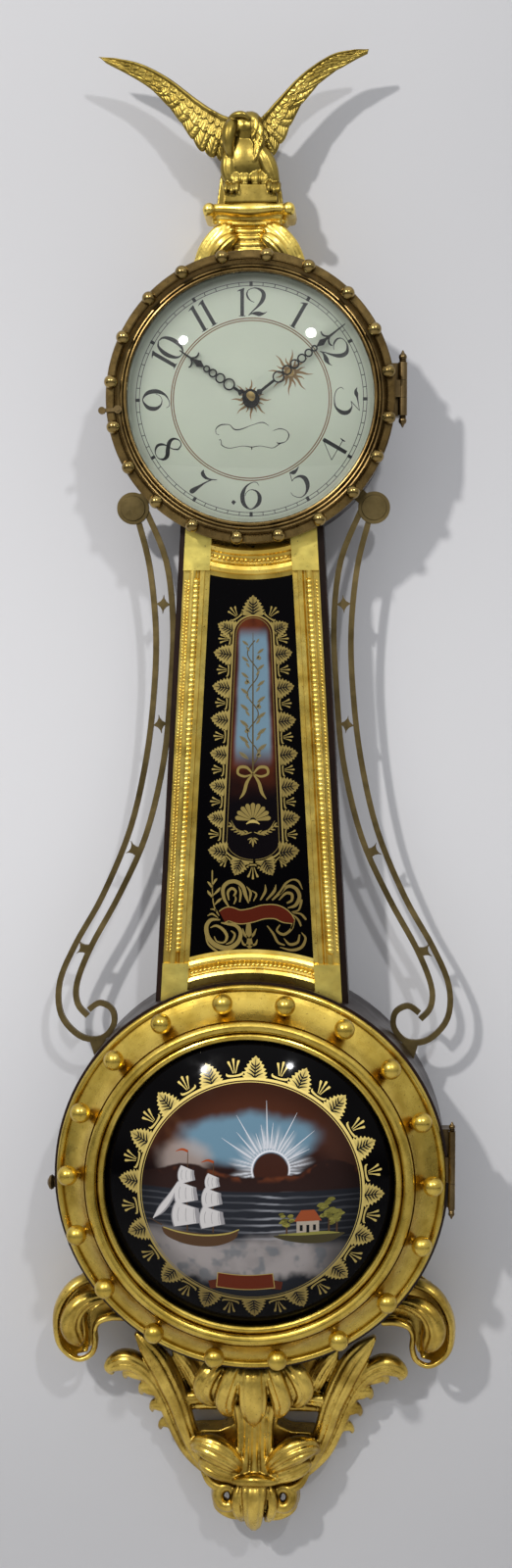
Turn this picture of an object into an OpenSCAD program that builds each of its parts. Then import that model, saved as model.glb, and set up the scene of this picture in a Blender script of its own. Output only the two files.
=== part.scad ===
// Girandole wall clock: round head, tapered throat, round base with a domed
// tablet, carved bracket, eagle finial and an eight day weight movement.
// Drawn face on: each module works in a view whose x is across, y is up and
// z is the distance out from the wall.

/* [Case] */
// Height of the wall fixing above the dial centre
fixing_rise = 70; // [64:1:76]
// Drop from the dial centre to the centre of the base
centre_drop = 603; // [590:1:620]
// Thickness of the backboard
board_t = 10; // [8:0.5:12]
// Radius of the round head case
head_r = 108; // [106:0.5:110]
// Wall of the head case
head_wall = 9; // [7:0.5:9.5]
// Front face of the head case, out from the wall
head_depth = 76; // [75:0.5:78]
// Half width of the throat case where it leaves the head
throat_top_half = 56; // [54:0.5:58]
// Half width of the throat case where it meets the base
throat_foot_half = 75; // [72:0.5:78]
// Wall of the throat case
throat_wall = 9; // [7:0.5:10]
// Front edge of the throat sides, out from the wall
throat_depth = 62; // [61.5:0.5:63]
// Radius of the round base case
base_r = 154.5; // [153.5:0.5:156]
// Wall of the base case
base_wall = 12; // [10:0.5:13]
// Front face of the base case, out from the wall
base_depth = 80; // [78:0.5:82]
// Gap between a closed door and its case
door_gap = 0.3; // [0.2:0.1:0.6]

/* [Hanger] */
// Radius of the hanging hole
hang_hole_r = 4; // [3:0.25:5]
// Thickness of the brass hanger plate
hanger_t = 2.5; // [2:0.25:3.5]
// Width of the hanger plate
hanger_w = 52; // [44:1:60]
// Height of the hanger plate
hanger_h = 30; // [26:1:34]
// Radius of the pocket for the nail's head
pocket_r = 10; // [8:0.5:12]

/* [Throat frame] */
// Set back of the gilt frame from the edge of the throat case
frame_inset = 5; // [3:0.5:7]
// Width of a stile
stile_w = 20.5; // [18:0.5:22]
// Width of the top rail
top_rail_w = 29; // [26:0.5:31]
// Width of the bottom rail
foot_rail_w = 23.5; // [21:0.5:25]
// Thickness of the frame
frame_t = 11; // [10:0.5:11.5]
// Length of a top corner block below the head case
top_block = 22; // [18:0.5:25]
// Length of a bottom corner block above the base case
foot_block = 12.5; // [10:0.5:14]
// Width of the glass rabbets
rabbet = 4; // [3:0.25:5]
// Thickness of the throat glass
glass_t = 2; // [1.6:0.2:2.4]
// Radius of the rope moulding along a stile
rope_r = 4; // [3.5:0.25:4.5]

/* [Base door] */
// Reveal of the base case around its door
door_reveal = 2; // [1:0.25:3]
// Radius of its glass opening
door_open_r = 112.3; // [111.5:0.1:113]
// Rise of the base door from its edge to the foot of the reed
door_rise = 22; // [20:0.5:24]
// Radius of a gilt ball
door_ball_r = 8; // [7.5:0.25:8.25]
// Rise of the convex tablet glass
door_dome = 32; // [24:1:34]
// Thickness of the convex glasses
dome_t = 2.2; // [1.8:0.2:2.6]

/* [Bezel] */
// Outer radius of the bezel
bezel_r = 110; // [109:0.5:111]
// Radius of the dial opening in the bezel
bezel_open_r = 94; // [93.5:0.25:94.5]
// Radius of a brass ball
bezel_ball_r = 5.3; // [4.8:0.1:5.5]
// Inset of the circle of brass balls from the edge of the bezel
bezel_ball_inset = 3.6; // [3:0.1:4]
// Rise of the convex dial glass
bezel_dome = 16; // [12:1:20]

/* [Hinges] */
// Radius of the base door hinge barrel
base_barrel_r = 2.7; // [2.4:0.1:2.8]
// Length of the base door hinge barrel
base_barrel_len = 62; // [54:1:70]
// Radius of the bezel hinge barrel
bezel_barrel_r = 3.4; // [3:0.1:3.6]
// Length of the bezel hinge barrel
bezel_barrel_len = 40; // [34:1:46]
// Radius of the hinge pins
hinge_pin_r = 1.2; // [1:0.05:1.4]
// Thickness of the hinge leaves
leaf_t = 1.6; // [1.2:0.1:1.8]

/* [Dial and hands] */
// Radius of the dial plate
dial_r = 98; // [96:0.5:98]
// Thickness of the dial plate
dial_t = 1.2; // [1:0.1:1.6]
// Back of the dial plate, out from the wall
dial_depth = 69; // [68.5:0.1:69.2]
// Length of the minute hand
minute_len = 90.7; // [84:0.1:91]
// Length of the hour hand
hour_len = 66; // [60:0.5:70]
// Angle of the minute hand, clockwise from twelve
minute_angle = 52.1; // [0:0.1:360]
// Angle of the hour hand, clockwise from twelve
hour_angle = 304.3; // [0:0.1:360]
// Thickness of the hands
hand_t = 0.9; // [0.6:0.1:1]
// Radius of the winding hole
wind_hole_r = 5; // [4.5:0.25:6]
// Side of the winding square
wind_square = 5; // [4:0.25:5.5]

/* [Movement] */
// Thickness of the movement plates
plate_t = 2.5; // [2:0.1:2.5]
// Back of the rear plate, out from the wall
plate_back = 16; // [15:0.5:16]
// Back of the front plate, out from the wall
plate_front = 46; // [46:0.1:46.4]
// Radius of the wheel arbors
arbor_r = 1.5; // [1.3:0.1:1.6]
// Clearance of a pivot or shaft in its hole
run_gap = 0.08; // [0.04:0.01:0.1]
// Radius of the winding drum
drum_r = 12; // [11:0.25:12.5]
// Radius of the cord
cord_r = 0.6; // [0.5:0.05:0.8]

/* [Weight] */
// Width of the weight
weight_w = 62; // [54:1:66]
// Thickness of the weight
weight_t = 24; // [20:0.5:25]
// Height of the weight
weight_h = 150; // [130:1:160]
// Drop from the dial centre to the top of the run down weight
weight_drop = 475; // [465:1:480]
// Clearance between the weight and the backboard
weight_gap = 4; // [3:0.5:5]
// Radius of the pulley groove
pulley_r = 16.8; // [15:0.2:17.2]

/* [Pendulum] */
// Height of the pendulum's suspension above the dial centre
hang_rise = 52; // [50:0.5:54]
// Depth of the pendulum rod's axis, out from the wall
rod_depth = 57; // [56.8:0.1:57.2]
// Radius of the pendulum rod
rod_r = 1.5; // [1.3:0.1:1.6]
// Radius of the pendulum bob
bob_r = 38; // [34:0.5:40]
// Thickness of the pendulum bob
bob_t = 13; // [10:0.5:14]
// Drop from the dial centre to the middle of the bob
bob_drop = 596; // [585:1:604]

/* [Side arms] */
// Radius of the disc at the top of an arm
disc_r = 12.5; // [11:0.25:13.5]
// Gap between a disc and the head case
disc_gap = 3.6; // [2.5:0.1:4.5]
// Width of an arm's rails
rail_w = 4.5; // [4:0.1:5]
// Thickness of an arm
arm_t = 4; // [3:0.25:5]
// Back of an arm, out from the wall
arm_depth = 38; // [34:1:42]

/* [Eagle] */
// Height of the volute cap above the dial centre
cap_rise = 139; // [136:0.5:141]
// Height of the eagle's block above the dial centre
block_rise = 152; // [151.5:0.5:155]
// Middle of the eagle, out from the wall
eagle_depth = 40; // [37:1:42]
// Offset of the eagle and its plinth from the middle
eagle_shift = -2; // [-3:0.5:0]

/* [Bracket] */
// Depth of the bracket at the base case
bracket_depth = 40; // [36:1:44]

/* [Hidden] */
$fn = 96;
cut = 1;

// Colours
mahogany = "#2a1512";
gilt = "#d9a62e";
brass = "#a8843f";
aged_brass = "#7c5a2c";
steel = "#8c8c90";
black_steel = "#23211f";
dial_green = "#c9d3c4";
tablet_black = "#15100f";

// Heights of the two centres, from the wall fixing
head_z = -fixing_rise;
base_z = head_z - centre_drop;

// Straight taper of the throat case and of the frame on it
throat_top_z = head_z - head_r;
throat_foot_z = base_z + base_r;
function throat_half(z, inset = 0) =
    lerp(throat_top_half, throat_foot_half, (throat_top_z - z) / (throat_top_z - throat_foot_z))
    - inset;
throat_lean = atan((throat_foot_half - throat_top_half) / (throat_top_z - throat_foot_z));

function lerp(a, b, t) = a + (b - a) * t;
function unit(v) = v / norm(v);
function polar(r, a) = [r * cos(a), r * sin(a)];
function clock(r, a) = polar(r, 90 - a);
function flat(p) = [p[0], p[1]];
function arc(c, r, a0, a1, n = 8) = [for (i = [0:n]) c + polar(r, lerp(a0, a1, i / n))];

// Smooth curve through a list of points, with n steps between each pair
function curve_point(a, b, c, d, t) =
    0.5 * (2 * b + (c - a) * t + (2 * a - 5 * b + 4 * c - d) * t * t
        + (3 * b - a - 3 * c + d) * t * t * t);
function curve(p, n = 4) = let (m = len(p) - 1) concat(
    [for (i = [0:m - 1]) for (k = [0:n - 1])
        curve_point(p[max(i - 1, 0)], p[i], p[i + 1], p[min(i + 2, m)], k / n)],
    [p[m]]);
function along(p, i) = unit(flat(p[min(i + 1, len(p) - 1)] - p[max(i - 1, 0)]));
function left_of(v) = [-v[1], v[0]];
function beside(p, w) = [for (i = [0:len(p) - 1]) flat(p[i]) + w * left_of(along(p, i))];
function turned(p) = [for (i = [len(p) - 1:-1:0]) p[i]];
function mirrored(p) = [for (q = p) [-q[0], q[1]]];

// The view from the front: x across, y up, z out from the wall
module face_on(x = 0, y = 0, z = 0) { rotate([90, 0, 0]) translate([x, y, z]) children(); }
module on_head(z = 0) { face_on(0, head_z, z) children(); }
module on_base(z = 0) { face_on(0, base_z, z) children(); }
module both() { children(); mirror([1, 0, 0]) children(); }

// A bar of even width along a curve
module bar(p, w, h) { linear_extrude(h) polygon(concat(beside(p, w / 2), turned(beside(p, -w / 2)))); }

// A solid skinned over a row of closed rings with the same number of points
module skin(rings) {
    n = len(rings[0]);
    last = len(rings) - 1;
    points = [for (r = rings) for (p = r) p];
    sides = [for (i = [0:last - 1]) for (j = [0:n - 1]) let (k = (j + 1) % n)
        each [[i * n + j, (i + 1) * n + j, (i + 1) * n + k], [i * n + j, (i + 1) * n + k, i * n + k]]];
    start = [for (j = [1:n - 2]) [0, j, j + 1]];
    end = [for (j = [1:n - 2]) [last * n, last * n + j + 1, last * n + j]];
    polyhedron(points, concat(sides, start, end));
}

// A carved leaf: path points are [x, y, z of the edge], with a half width and a crown for each
function leaf_ring(p, v, w, crown, edge) = concat(
    [for (k = [1, 0.5, 0, -0.5, -1]) [p[0] + v[0] * w * k, p[1] + v[1] * w * k, p[2] + crown * (1 - k * k)]],
    [for (k = [-1, 0, 1]) [p[0] + v[0] * w * k, p[1] + v[1] * w * k, p[2] - edge]]);
module leaf(path, widths, crowns, edge = 3, steps = 3) {
    p = curve(path, steps);
    w = curve(widths, steps);
    c = curve(crowns, steps);
    skin([for (i = [0:len(p) - 1]) leaf_ring(p[i], left_of(along(p, i)), w[i], c[i], edge)]);
}

// A body of level oval rings: each row is [x, y, z, half width, half depth]
module body_of_rings(rows, n = 14, steps = 2) {
    skin([for (r = curve(rows, steps)) [for (j = [0:n - 1]) let (a = 360 * j / n)
        [r[0] + r[3] * sin(a), r[1], r[2] + r[4] * cos(a)]]]);
}

// A wheel with straight tapered teeth; lead turns the first tooth
module toothed(n, module_size, lead = 0, thin = 0.42, add = 0.85, ded = 1.15) {
    r = n * module_size / 2;
    tip = r + add * module_size;
    root = r - ded * module_size;
    pitch = 360 / n;
    polygon([for (i = [0:n - 1]) let (a = lead + i * pitch) each [
        polar(root, a - pitch * (thin / 2 + 0.09)), polar(r, a - pitch * thin / 2),
        polar(tip, a - pitch * thin / 5), polar(tip, a + pitch * thin / 5),
        polar(r, a + pitch * thin / 2), polar(root, a + pitch * (thin / 2 + 0.09))]]);
}

// Wheel blank with a rim, a hub and crossings
module crossed(rim_r, hub_r, spokes, rim_w = 3, spoke_w = 3) {
    difference() {
        children();
        difference() {
            circle(rim_r - rim_w);
            circle(hub_r);
            for (i = [0:spokes - 1])
                rotate(360 * i / spokes) translate([0, -spoke_w / 2]) square([rim_r, spoke_w]);
        }
    }
}

// Case
module case_outline(r, y) { translate([0, y]) circle(r); }
module throat_outline(inset, top = throat_top_z + head_r / 2, foot = throat_foot_z - base_r / 2) {
    polygon([
        [-throat_half(top, inset), top], [throat_half(top, inset), top],
        [throat_half(foot, inset), foot], [-throat_half(foot, inset), foot]]);
}

// The drums of the head and the base, as cutters that seat other pieces on them
module drums(gap = 0) {
    rotate([90, 0, 0]) {
        translate([0, head_z, -cut]) cylinder(r = head_r + gap, h = 200);
        translate([0, base_z, -cut]) cylinder(r = base_r + gap, h = 200);
    }
}

module backboard() {
    color(mahogany) difference() {
        face_on() linear_extrude(board_t) union() {
            case_outline(head_r, head_z);
            case_outline(base_r, base_z);
            throat_outline(0);
        }
        face_on(-hanger_w / 2, -hanger_h / 2, -cut) cube([hanger_w, hanger_h, hanger_t + cut]);
        face_on(0, 0, 0) cylinder(r = pocket_r, h = board_t + cut);
    }
}

module hanger_plate() {
    color(brass) face_on() difference() {
        translate([-hanger_w / 2, -hanger_h / 2, 0]) cube([hanger_w, hanger_h, hanger_t]);
        translate([0, 0, -cut]) cylinder(r = hang_hole_r, h = hanger_t + 2 * cut);
    }
}

module head_case() {
    color(mahogany) difference() {
        on_head(board_t) difference() {
            cylinder(r = head_r, h = head_depth - board_t);
            translate([0, 0, -cut]) cylinder(r = head_r - head_wall, h = head_depth);
        }
        face_on(0, 0, board_t - cut) linear_extrude(throat_depth - board_t + cut)
            throat_outline(throat_wall, head_z - head_r / 2, throat_foot_z);
    }
}

module base_case() {
    color(mahogany) difference() {
        on_base(board_t) difference() {
            cylinder(r = base_r, h = base_depth - board_t);
            translate([0, 0, -cut]) cylinder(r = base_r - base_wall, h = base_depth);
        }
        face_on(0, 0, board_t - cut) linear_extrude(throat_depth - board_t + cut)
            throat_outline(throat_wall, throat_top_z, base_z + base_r / 2);
        lock_hole();
    }
}

module throat_sides() {
    color(mahogany) difference() {
        face_on(0, 0, board_t) linear_extrude(throat_depth - board_t) difference() {
            throat_outline(0);
            throat_outline(throat_wall, head_z, base_z);
        }
        drums();
    }
}

// Throat frame
frame_back = throat_depth;
frame_front = frame_back + frame_t;
glass_back = frame_back + 4;
glass_front = glass_back + glass_t;
top_block_z = throat_top_z - top_block;
foot_block_z = throat_foot_z + foot_block;

// Section of a stile, across from its outer edge, out from the frame's back
function stile_section() = concat(
    [[0, 0], [0, frame_t - 3.5], [1, frame_t - 3], [stile_w * 0.18, frame_t - 3]],
    arc([stile_w * 0.18 + rope_r, frame_t - 3], rope_r * 0.75, 180, 0, 8),
    [[stile_w * 0.18 + 2 * rope_r, frame_t - 3], [stile_w * 0.64, frame_t - 1.5],
     [stile_w * 0.8, frame_t - 1.5], [stile_w * 0.82, frame_t - 3], [stile_w, frame_t - 4],
     [stile_w, glass_front - frame_back], [stile_w - rabbet, glass_front - frame_back],
     [stile_w - rabbet, 0]]);

module stile() {
    intersection() {
        face_on(-throat_half(throat_top_z, frame_inset), throat_top_z, frame_back)
            rotate(-throat_lean) rotate([90, 0, 0]) translate([0, 0, -50])
                linear_extrude(centre_drop) polygon(stile_section());
        face_on(-2 * base_r, foot_block_z, 0) cube([4 * base_r, top_block_z - foot_block_z, 2 * base_depth]);
    }
}

module throat_stiles() { color(gilt) both() stile(); }

// Section of a rail: r is measured from the drum it follows
function rail_section(r, w) = let (d = frame_front) [
    [r, frame_back], [r, d - 3], [r + 0.14 * w, d - 1.5], [r + 0.24 * w, d - 0.5],
    [r + 0.34 * w, d - 1.5], [r + 0.38 * w, d - 3.5], [r + 0.52 * w, d - 4.5],
    [r + 0.6 * w, d - 3.5], [r + 0.66 * w, d - 1.5], [r + 0.76 * w, d - 0.8],
    [r + 0.86 * w, d - 2], [r + 0.88 * w, d - 3.5], [r + w, d - 4],
    [r + w, glass_front], [r + w - rabbet, glass_front], [r + w - rabbet, frame_back]];

module between_stiles() {
    face_on() linear_extrude(2 * base_depth) throat_outline(frame_inset + stile_w);
}

module throat_rail_top() {
    color(gilt) intersection() {
        on_head() rotate(180 + 45) rotate_extrude(angle = 90) polygon(rail_section(head_r, top_rail_w));
        between_stiles();
    }
}

module throat_rail_bottom() {
    color(gilt) intersection() {
        on_base() rotate(45) rotate_extrude(angle = 90) polygon(rail_section(base_r, foot_rail_w));
        between_stiles();
    }
}

module corner_block(top, foot) {
    difference() {
        intersection() {
            face_on(0, 0, frame_back) linear_extrude(frame_t) difference() {
                throat_outline(frame_inset);
                throat_outline(frame_inset + stile_w, head_z, base_z);
            }
            face_on(-2 * base_r, foot, 0) cube([4 * base_r, top - foot, 2 * base_depth]);
        }
        drums();
    }
}

module throat_corner_blocks() {
    color(gilt) {
        corner_block(head_z, top_block_z);
        corner_block(foot_block_z, base_z);
    }
}

// The glass sits in the rabbets, with a little room at its edges
module throat_glass() {
    color(tablet_black) face_on(0, 0, glass_back) linear_extrude(glass_t) difference() {
        intersection() {
            throat_outline(frame_inset + stile_w + 0.2, top_block_z, foot_block_z);
            translate([-base_r, foot_block_z]) square([2 * base_r, top_block_z - foot_block_z]);
        }
        translate([0, head_z]) circle(head_r + top_rail_w - rabbet + 0.3);
        translate([0, base_z]) circle(base_r + foot_rail_w - rabbet + 0.3);
    }
}

module weight_baffle() {
    baffle_depth = weight_gap + board_t + weight_t + 3;
    color("#4a3a2a") difference() {
        face_on(0, 0, baffle_depth) linear_extrude(1.5) throat_outline(throat_wall);
        drums();
    }
}

// Base door
door_r = base_r - door_reveal;
door_back = base_depth + door_gap;
edge_bead_r = 2.6;
reed_r = 4.5;
lip_bead_r = 3;
shoulder = door_rise - 3.8;
cove_foot = [door_r - 2 * edge_bead_r, 2.4];
cove_head = [door_open_r + 2 * lip_bead_r + 2 * reed_r + 1.1, door_rise + 0.4];
cove_lean = atan2(cove_foot[0] - cove_head[0], cove_head[1] - cove_foot[1]);
cove_normal = [cos(cove_lean), sin(cove_lean)];

// From its edge: a bead, a long shallow cove, a reed and a bead around the glass
function door_section() = concat(
    [[door_open_r + rabbet, 0], [door_r, 0]],
    arc([door_r - edge_bead_r, 1.6], edge_bead_r, 0, 180, 10),
    curve([cove_foot, lerp(cove_foot, cove_head, 0.25) - 1.5 * cove_normal,
        lerp(cove_foot, cove_head, 0.5) - 2 * cove_normal,
        lerp(cove_foot, cove_head, 0.75) - 1.5 * cove_normal, cove_head], 3),
    arc([door_open_r + 2 * lip_bead_r + reed_r + 0.4, door_rise - 0.8], reed_r, 0, 180, 12),
    arc([door_open_r + lip_bead_r, door_rise - 1.8], lip_bead_r, 0, 180, 10),
    [[door_open_r, shoulder], [door_open_r + rabbet, shoulder]]);

module door_ring() {
    on_base(door_back) rotate_extrude() polygon(door_section());
}
module base_door_frame() {
    color(gilt) door_ring();
}

// A ball on a short neck
module ball(r, neck_r, lift) {
    translate([0, 0, lift + r]) sphere(r = r);
    cylinder(r = neck_r, h = lift + r);
}

// Gilt balls stand square to the cove; their angles are uneven, as the turner set them
door_ball_at = [98.4, 118.8, 137.8, 157.8, 178.4, 197.8, 217.1, 238.2, 258.8, 278.8, 299.3, 318.9, 340.3, 359.8,
    20.4, 39.8, 58.9, 78.8];
ball_foot = lerp(cove_foot, cove_head, 0.56) - 2.4 * cove_normal;

module base_door_balls() {
    color(gilt) difference() {
        on_base(door_back) for (a = door_ball_at)
            rotate(a) translate([ball_foot[0], 0, ball_foot[1]]) rotate([0, 90 - cove_lean, 0])
                ball(door_ball_r, 0.375 * door_ball_r, 1.1);
        door_ring();
    }
}

// Convex glass with a flat rim behind its opening
module domed_glass(open_r, rim_r, rise, t, gap = 0.5) {
    r = open_r - gap;
    ball_r = (r * r + rise * rise) / (2 * rise);
    difference() {
        union() {
            translate([0, 0, -t]) cylinder(r = rim_r, h = t);
            intersection() {
                translate([0, 0, rise - ball_r]) sphere(r = ball_r, $fn = 200);
                translate([0, 0, -t / 2]) cylinder(r = r, h = rise + t);
            }
        }
        intersection() {
            translate([0, 0, rise - ball_r]) sphere(r = ball_r - t, $fn = 200);
            translate([0, 0, -2 * t]) cylinder(r = r - t, h = rise + 2 * t);
        }
    }
}

module base_door_glass() {
    color(tablet_black) on_base(door_back + shoulder)
        domed_glass(door_open_r, door_open_r + rabbet - 0.2, door_dome, dome_t);
}

// Bezel
bezel_back = head_depth + door_gap;
bezel_rim = 9.7;
bezel_seat = 3.7;

function bezel_section() = concat(
    [[bezel_open_r + 2.5, 0], [bezel_r, 0], [bezel_r, bezel_rim - 1], [bezel_r - 1, bezel_rim],
     [bezel_r - 5.2, bezel_rim], [bezel_r - 6.2, bezel_rim - 1]],
    [for (t = [0:0.2:1]) [lerp(bezel_r - 6.8, bezel_open_r + 6, t), bezel_rim - 2 - 1.8 * sin(90 * t)]],
    arc([bezel_open_r + 4.4, 6.8], 1.2, 0, 180, 6), arc([bezel_open_r + 1.5, 8.2], 1.5, 0, 180, 6),
    [[bezel_open_r, bezel_seat], [bezel_open_r + 2.5, bezel_seat]]);

module bezel_ring() {
    color(aged_brass) on_head(bezel_back) rotate_extrude() polygon(bezel_section());
}

// Places of the brass balls, clockwise from the top; they too are uneven
bezel_ball_at = [6.9, 24.7, 44, 62.2, 80.1, 98.7, 115.1, 132.6, 150.2, 168.2, 185.4, 204.5, 222.3, 240.4,
    258, 276.4, 295.1, 314.1, 331.1, 348.6];
module bezel_balls() {
    color(aged_brass) on_head(bezel_back + bezel_rim) for (a = bezel_ball_at)
        rotate(90 - a) translate([bezel_r - bezel_ball_inset, 0, 0]) ball(bezel_ball_r, 1.8, 0.3);
}

module bezel_glass() {
    color("#c8d6d2", 0.4) on_head(bezel_back + bezel_seat)
        domed_glass(bezel_open_r, bezel_open_r + 2.3, bezel_dome, dome_t - 0.4);
}

// Catch: a small lever across the bezel with a round end
catch_angle = 184.9;
catch_len = 16;
module bezel_catch() {
    color(aged_brass) on_head(bezel_back + bezel_rim + 0.2) rotate(catch_angle)
        translate([bezel_r - 9, 0, 0]) {
            cylinder(r = 3, h = 1.8);
            translate([0, -1.4, 0]) cube([catch_len - 4, 2.8, 1.8]);
            translate([catch_len - 4, 0, 0]) cylinder(r = 2.8, h = 2.6);
            translate([0, 0, 1]) cylinder(r = 1.6, h = 1.6);
        }
}

// Hinges. A barrel of three knuckles on a pin, with a leaf on each side
base_hinge_x = door_r + base_barrel_r + 1.5;
base_hinge_depth = base_depth + base_barrel_r + 0.2;
bezel_hinge_x = bezel_r + bezel_barrel_r + 2.1;
bezel_hinge_depth = head_depth + 0.6;
bezel_hinge_rise = 6.5;
base_hinge_z = base_z + 8;
bezel_hinge_z = head_z + bezel_hinge_rise;
knuckle_gap = 0.3;

module knuckle(barrel_r, low, high, hole_r) {
    difference() {
        translate([0, 0, low]) cylinder(r = barrel_r, h = high - low);
        translate([0, 0, low - cut]) cylinder(r = hole_r, h = high - low + 2 * cut);
    }
}

// The middle knuckle, carried by a plate that reaches the edge of its door
module door_leaf(x, depth, z, barrel_r, len, edge_r, edge_z, plate_at) {
    third = len / 6 - knuckle_gap;
    difference() {
        union() {
            translate([x, -depth, z]) knuckle(barrel_r, -third, third, hinge_pin_r + run_gap);
            translate([edge_r - 8, -plate_at - leaf_t, z - third])
                cube([x - edge_r + 8 - hinge_pin_r - 0.6, leaf_t, 2 * third]);
        }
        face_on(0, edge_z, 0) cylinder(r = edge_r, h = 200);
    }
}

module base_hinge_door_leaf() {
    color(brass) door_leaf(base_hinge_x, base_hinge_depth, base_hinge_z, base_barrel_r,
        base_barrel_len, door_r, base_z, door_back);
}

module bezel_hinge_door_leaf() {
    color(brass) door_leaf(bezel_hinge_x, bezel_hinge_depth, bezel_hinge_z, bezel_barrel_r,
        bezel_barrel_len, bezel_r, head_z, bezel_hinge_depth + bezel_barrel_r - leaf_t);
}

// The outer knuckles, carried by a plate on the side of the case
module case_leaf(x, depth, z, barrel_r, len, edge_r, edge_z, edge_depth) {
    side = edge_depth - 16;
    difference() {
        union() {
            for (low = [-len / 2, len / 6]) translate([x, -depth, z]) {
                knuckle(barrel_r, low, low + len / 3, hinge_pin_r);
                difference() {
                    translate([hinge_pin_r - 0.4, 0, low])
                        cube([leaf_t, depth - side, len / 3]);
                    translate([0, 0, low - cut]) cylinder(r = hinge_pin_r, h = len);
                }
            }
            translate([edge_r - 6, -edge_depth + 3, z - len / 2])
                cube([x - edge_r + 6 + hinge_pin_r - 0.4 + leaf_t, edge_depth - side - 3, len]);
        }
        face_on(0, edge_z, 0) cylinder(r = edge_r, h = 200);
    }
}

module hinge_case_leaves() {
    color(brass) {
        case_leaf(base_hinge_x, base_hinge_depth, base_hinge_z, base_barrel_r, base_barrel_len,
            base_r, base_z, base_depth);
        case_leaf(bezel_hinge_x, bezel_hinge_depth, bezel_hinge_z, bezel_barrel_r, bezel_barrel_len,
            head_r, head_z, head_depth);
    }
}

module hinge_pin(len, barrel_r) {
    translate([0, 0, -len / 2]) cylinder(r = hinge_pin_r, h = len);
    both_ends(len) {
        cylinder(r1 = barrel_r * 0.6, r2 = barrel_r * 0.9, h = 1.5);
        translate([0, 0, 1.5 + barrel_r * 0.7]) sphere(r = barrel_r * 0.9);
        translate([0, 0, 1.5 + barrel_r * 1.2]) cylinder(r1 = barrel_r * 0.6, r2 = 0.4, h = barrel_r);
    }
}
module both_ends(len) {
    translate([0, 0, len / 2]) children();
    mirror([0, 0, 1]) translate([0, 0, len / 2]) children();
}

module hinge_pins() {
    color(aged_brass) {
        translate([base_hinge_x, -base_hinge_depth, base_hinge_z]) hinge_pin(base_barrel_len, base_barrel_r);
        translate([bezel_hinge_x, -bezel_hinge_depth, bezel_hinge_z])
            hinge_pin(bezel_barrel_len, bezel_barrel_r);
    }
}

// Lock: a knob through the left side of the base turns a tongue behind the keeper
lock_z = base_z - 10;
lock_depth = 68;
lock_shaft_r = 2.5;
lock_side = sqrt(base_r * base_r - 100);
tongue_x = base_wall - base_r + 2.5;
module lock_hole() {
    translate([-base_r - 10, -lock_depth, lock_z]) rotate([0, 90, 0])
        cylinder(r = lock_shaft_r + run_gap, h = 40);
}
module base_lock_knob() {
    color(aged_brass) translate([0, -lock_depth, lock_z]) rotate([0, 90, 0]) {
        translate([0, 0, -lock_side - 1]) cylinder(r = lock_shaft_r, h = lock_side + 1 + tongue_x + 1.5);
        translate([0, 0, -lock_side - 3]) cylinder(r1 = 3.5, r2 = 4.5, h = 2.4);
        translate([0, 0, -lock_side - 7.6]) rotate_extrude()
            polygon([[0, 0], [2.5, 0], [5.2, 1.6], [6, 3.2], [5, 4.8], [3.5, 5], [0, 5]]);
        translate([-2.5, -2.5, tongue_x - 0.3]) cube([11, 5, 1.8]);
    }
}

// The keeper's lip lies behind the tongue's path, above the knob
keeper_lip = lock_depth - lock_shaft_r - 4;
module base_door_keeper() {
    color(brass) face_on(tongue_x + 2.2, lock_z + lock_shaft_r + 0.9, 0) {
        translate([0, 0, keeper_lip]) cube([1.6, 10, door_back - keeper_lip]);
        translate([-3.2, 0, keeper_lip]) cube([3.6, 10, 1.6]);
        translate([0, 0, door_back - 1.4]) cube([12, 10, 1.4]);
    }
}

// Dial and hands
wind_at = [30.1, 20.3];
wind_dist = norm(wind_at);
pipe_r = 3.4;
foot_at = [[-38, -30], [40, -32], [-38, 56], [40, 60]];
front_face = plate_front + plate_t;

module dial() {
    color(dial_green) on_head(dial_depth) difference() {
        cylinder(r = dial_r, h = dial_t);
        translate([0, 0, -cut]) cylinder(r = pipe_r + 1, h = dial_t + 2 * cut);
        translate([wind_at[0], wind_at[1], -cut]) cylinder(r = wind_hole_r, h = dial_t + 2 * cut);
    }
}

module dial_feet() {
    color(brass) on_head(front_face) for (p = foot_at) translate([p[0], p[1], 0])
        cylinder(r = 2.4, h = dial_depth - front_face);
}

hour_depth = dial_depth + dial_t + 1.6;
minute_depth = hour_depth + 2.6;

module hoop(y, r, w) {
    translate([0, y]) difference() {
        circle(r);
        circle(r - w);
    }
}

// A pierced hand: hoops that touch in a row, a diamond, a pair of cusps and a needle
module hand(len, hoops, diamond, hole_r, boss_r) {
    tip = [for (h = hoops) h[0] + h[1]];
    end = tip[len(hoops) - 1];
    linear_extrude(hand_t) difference() {
        union() {
            circle(boss_r);
            translate([-1, boss_r - 0.6]) square([2, hoops[0][0] - hoops[0][1] - boss_r + 1.2]);
            polygon([[0, boss_r - 0.4], [2.6, boss_r + 2.8], [0, boss_r + 6.5], [-2.6, boss_r + 2.8]]);
            for (h = hoops) hoop(h[0], h[1], 1.1);
            polygon([[0, end - 0.8], [diamond, end + 4.5], [0, end + 11], [-diamond, end + 4.5]]);
            for (s = [-1, 1]) polygon(concat(
                arc([s * 4.6, end + 12.4], 4.4, s > 0 ? 200 : -20, s > 0 ? 300 : -120, 6),
                turned(arc([s * 4.9, end + 13.2], 4.0, s > 0 ? 200 : -20, s > 0 ? 300 : -120, 6))));
            polygon([[-1, end + 9], [1, end + 9], [0.35, len], [-0.35, len]]);
        }
        circle(hole_r);
    }
}

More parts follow.
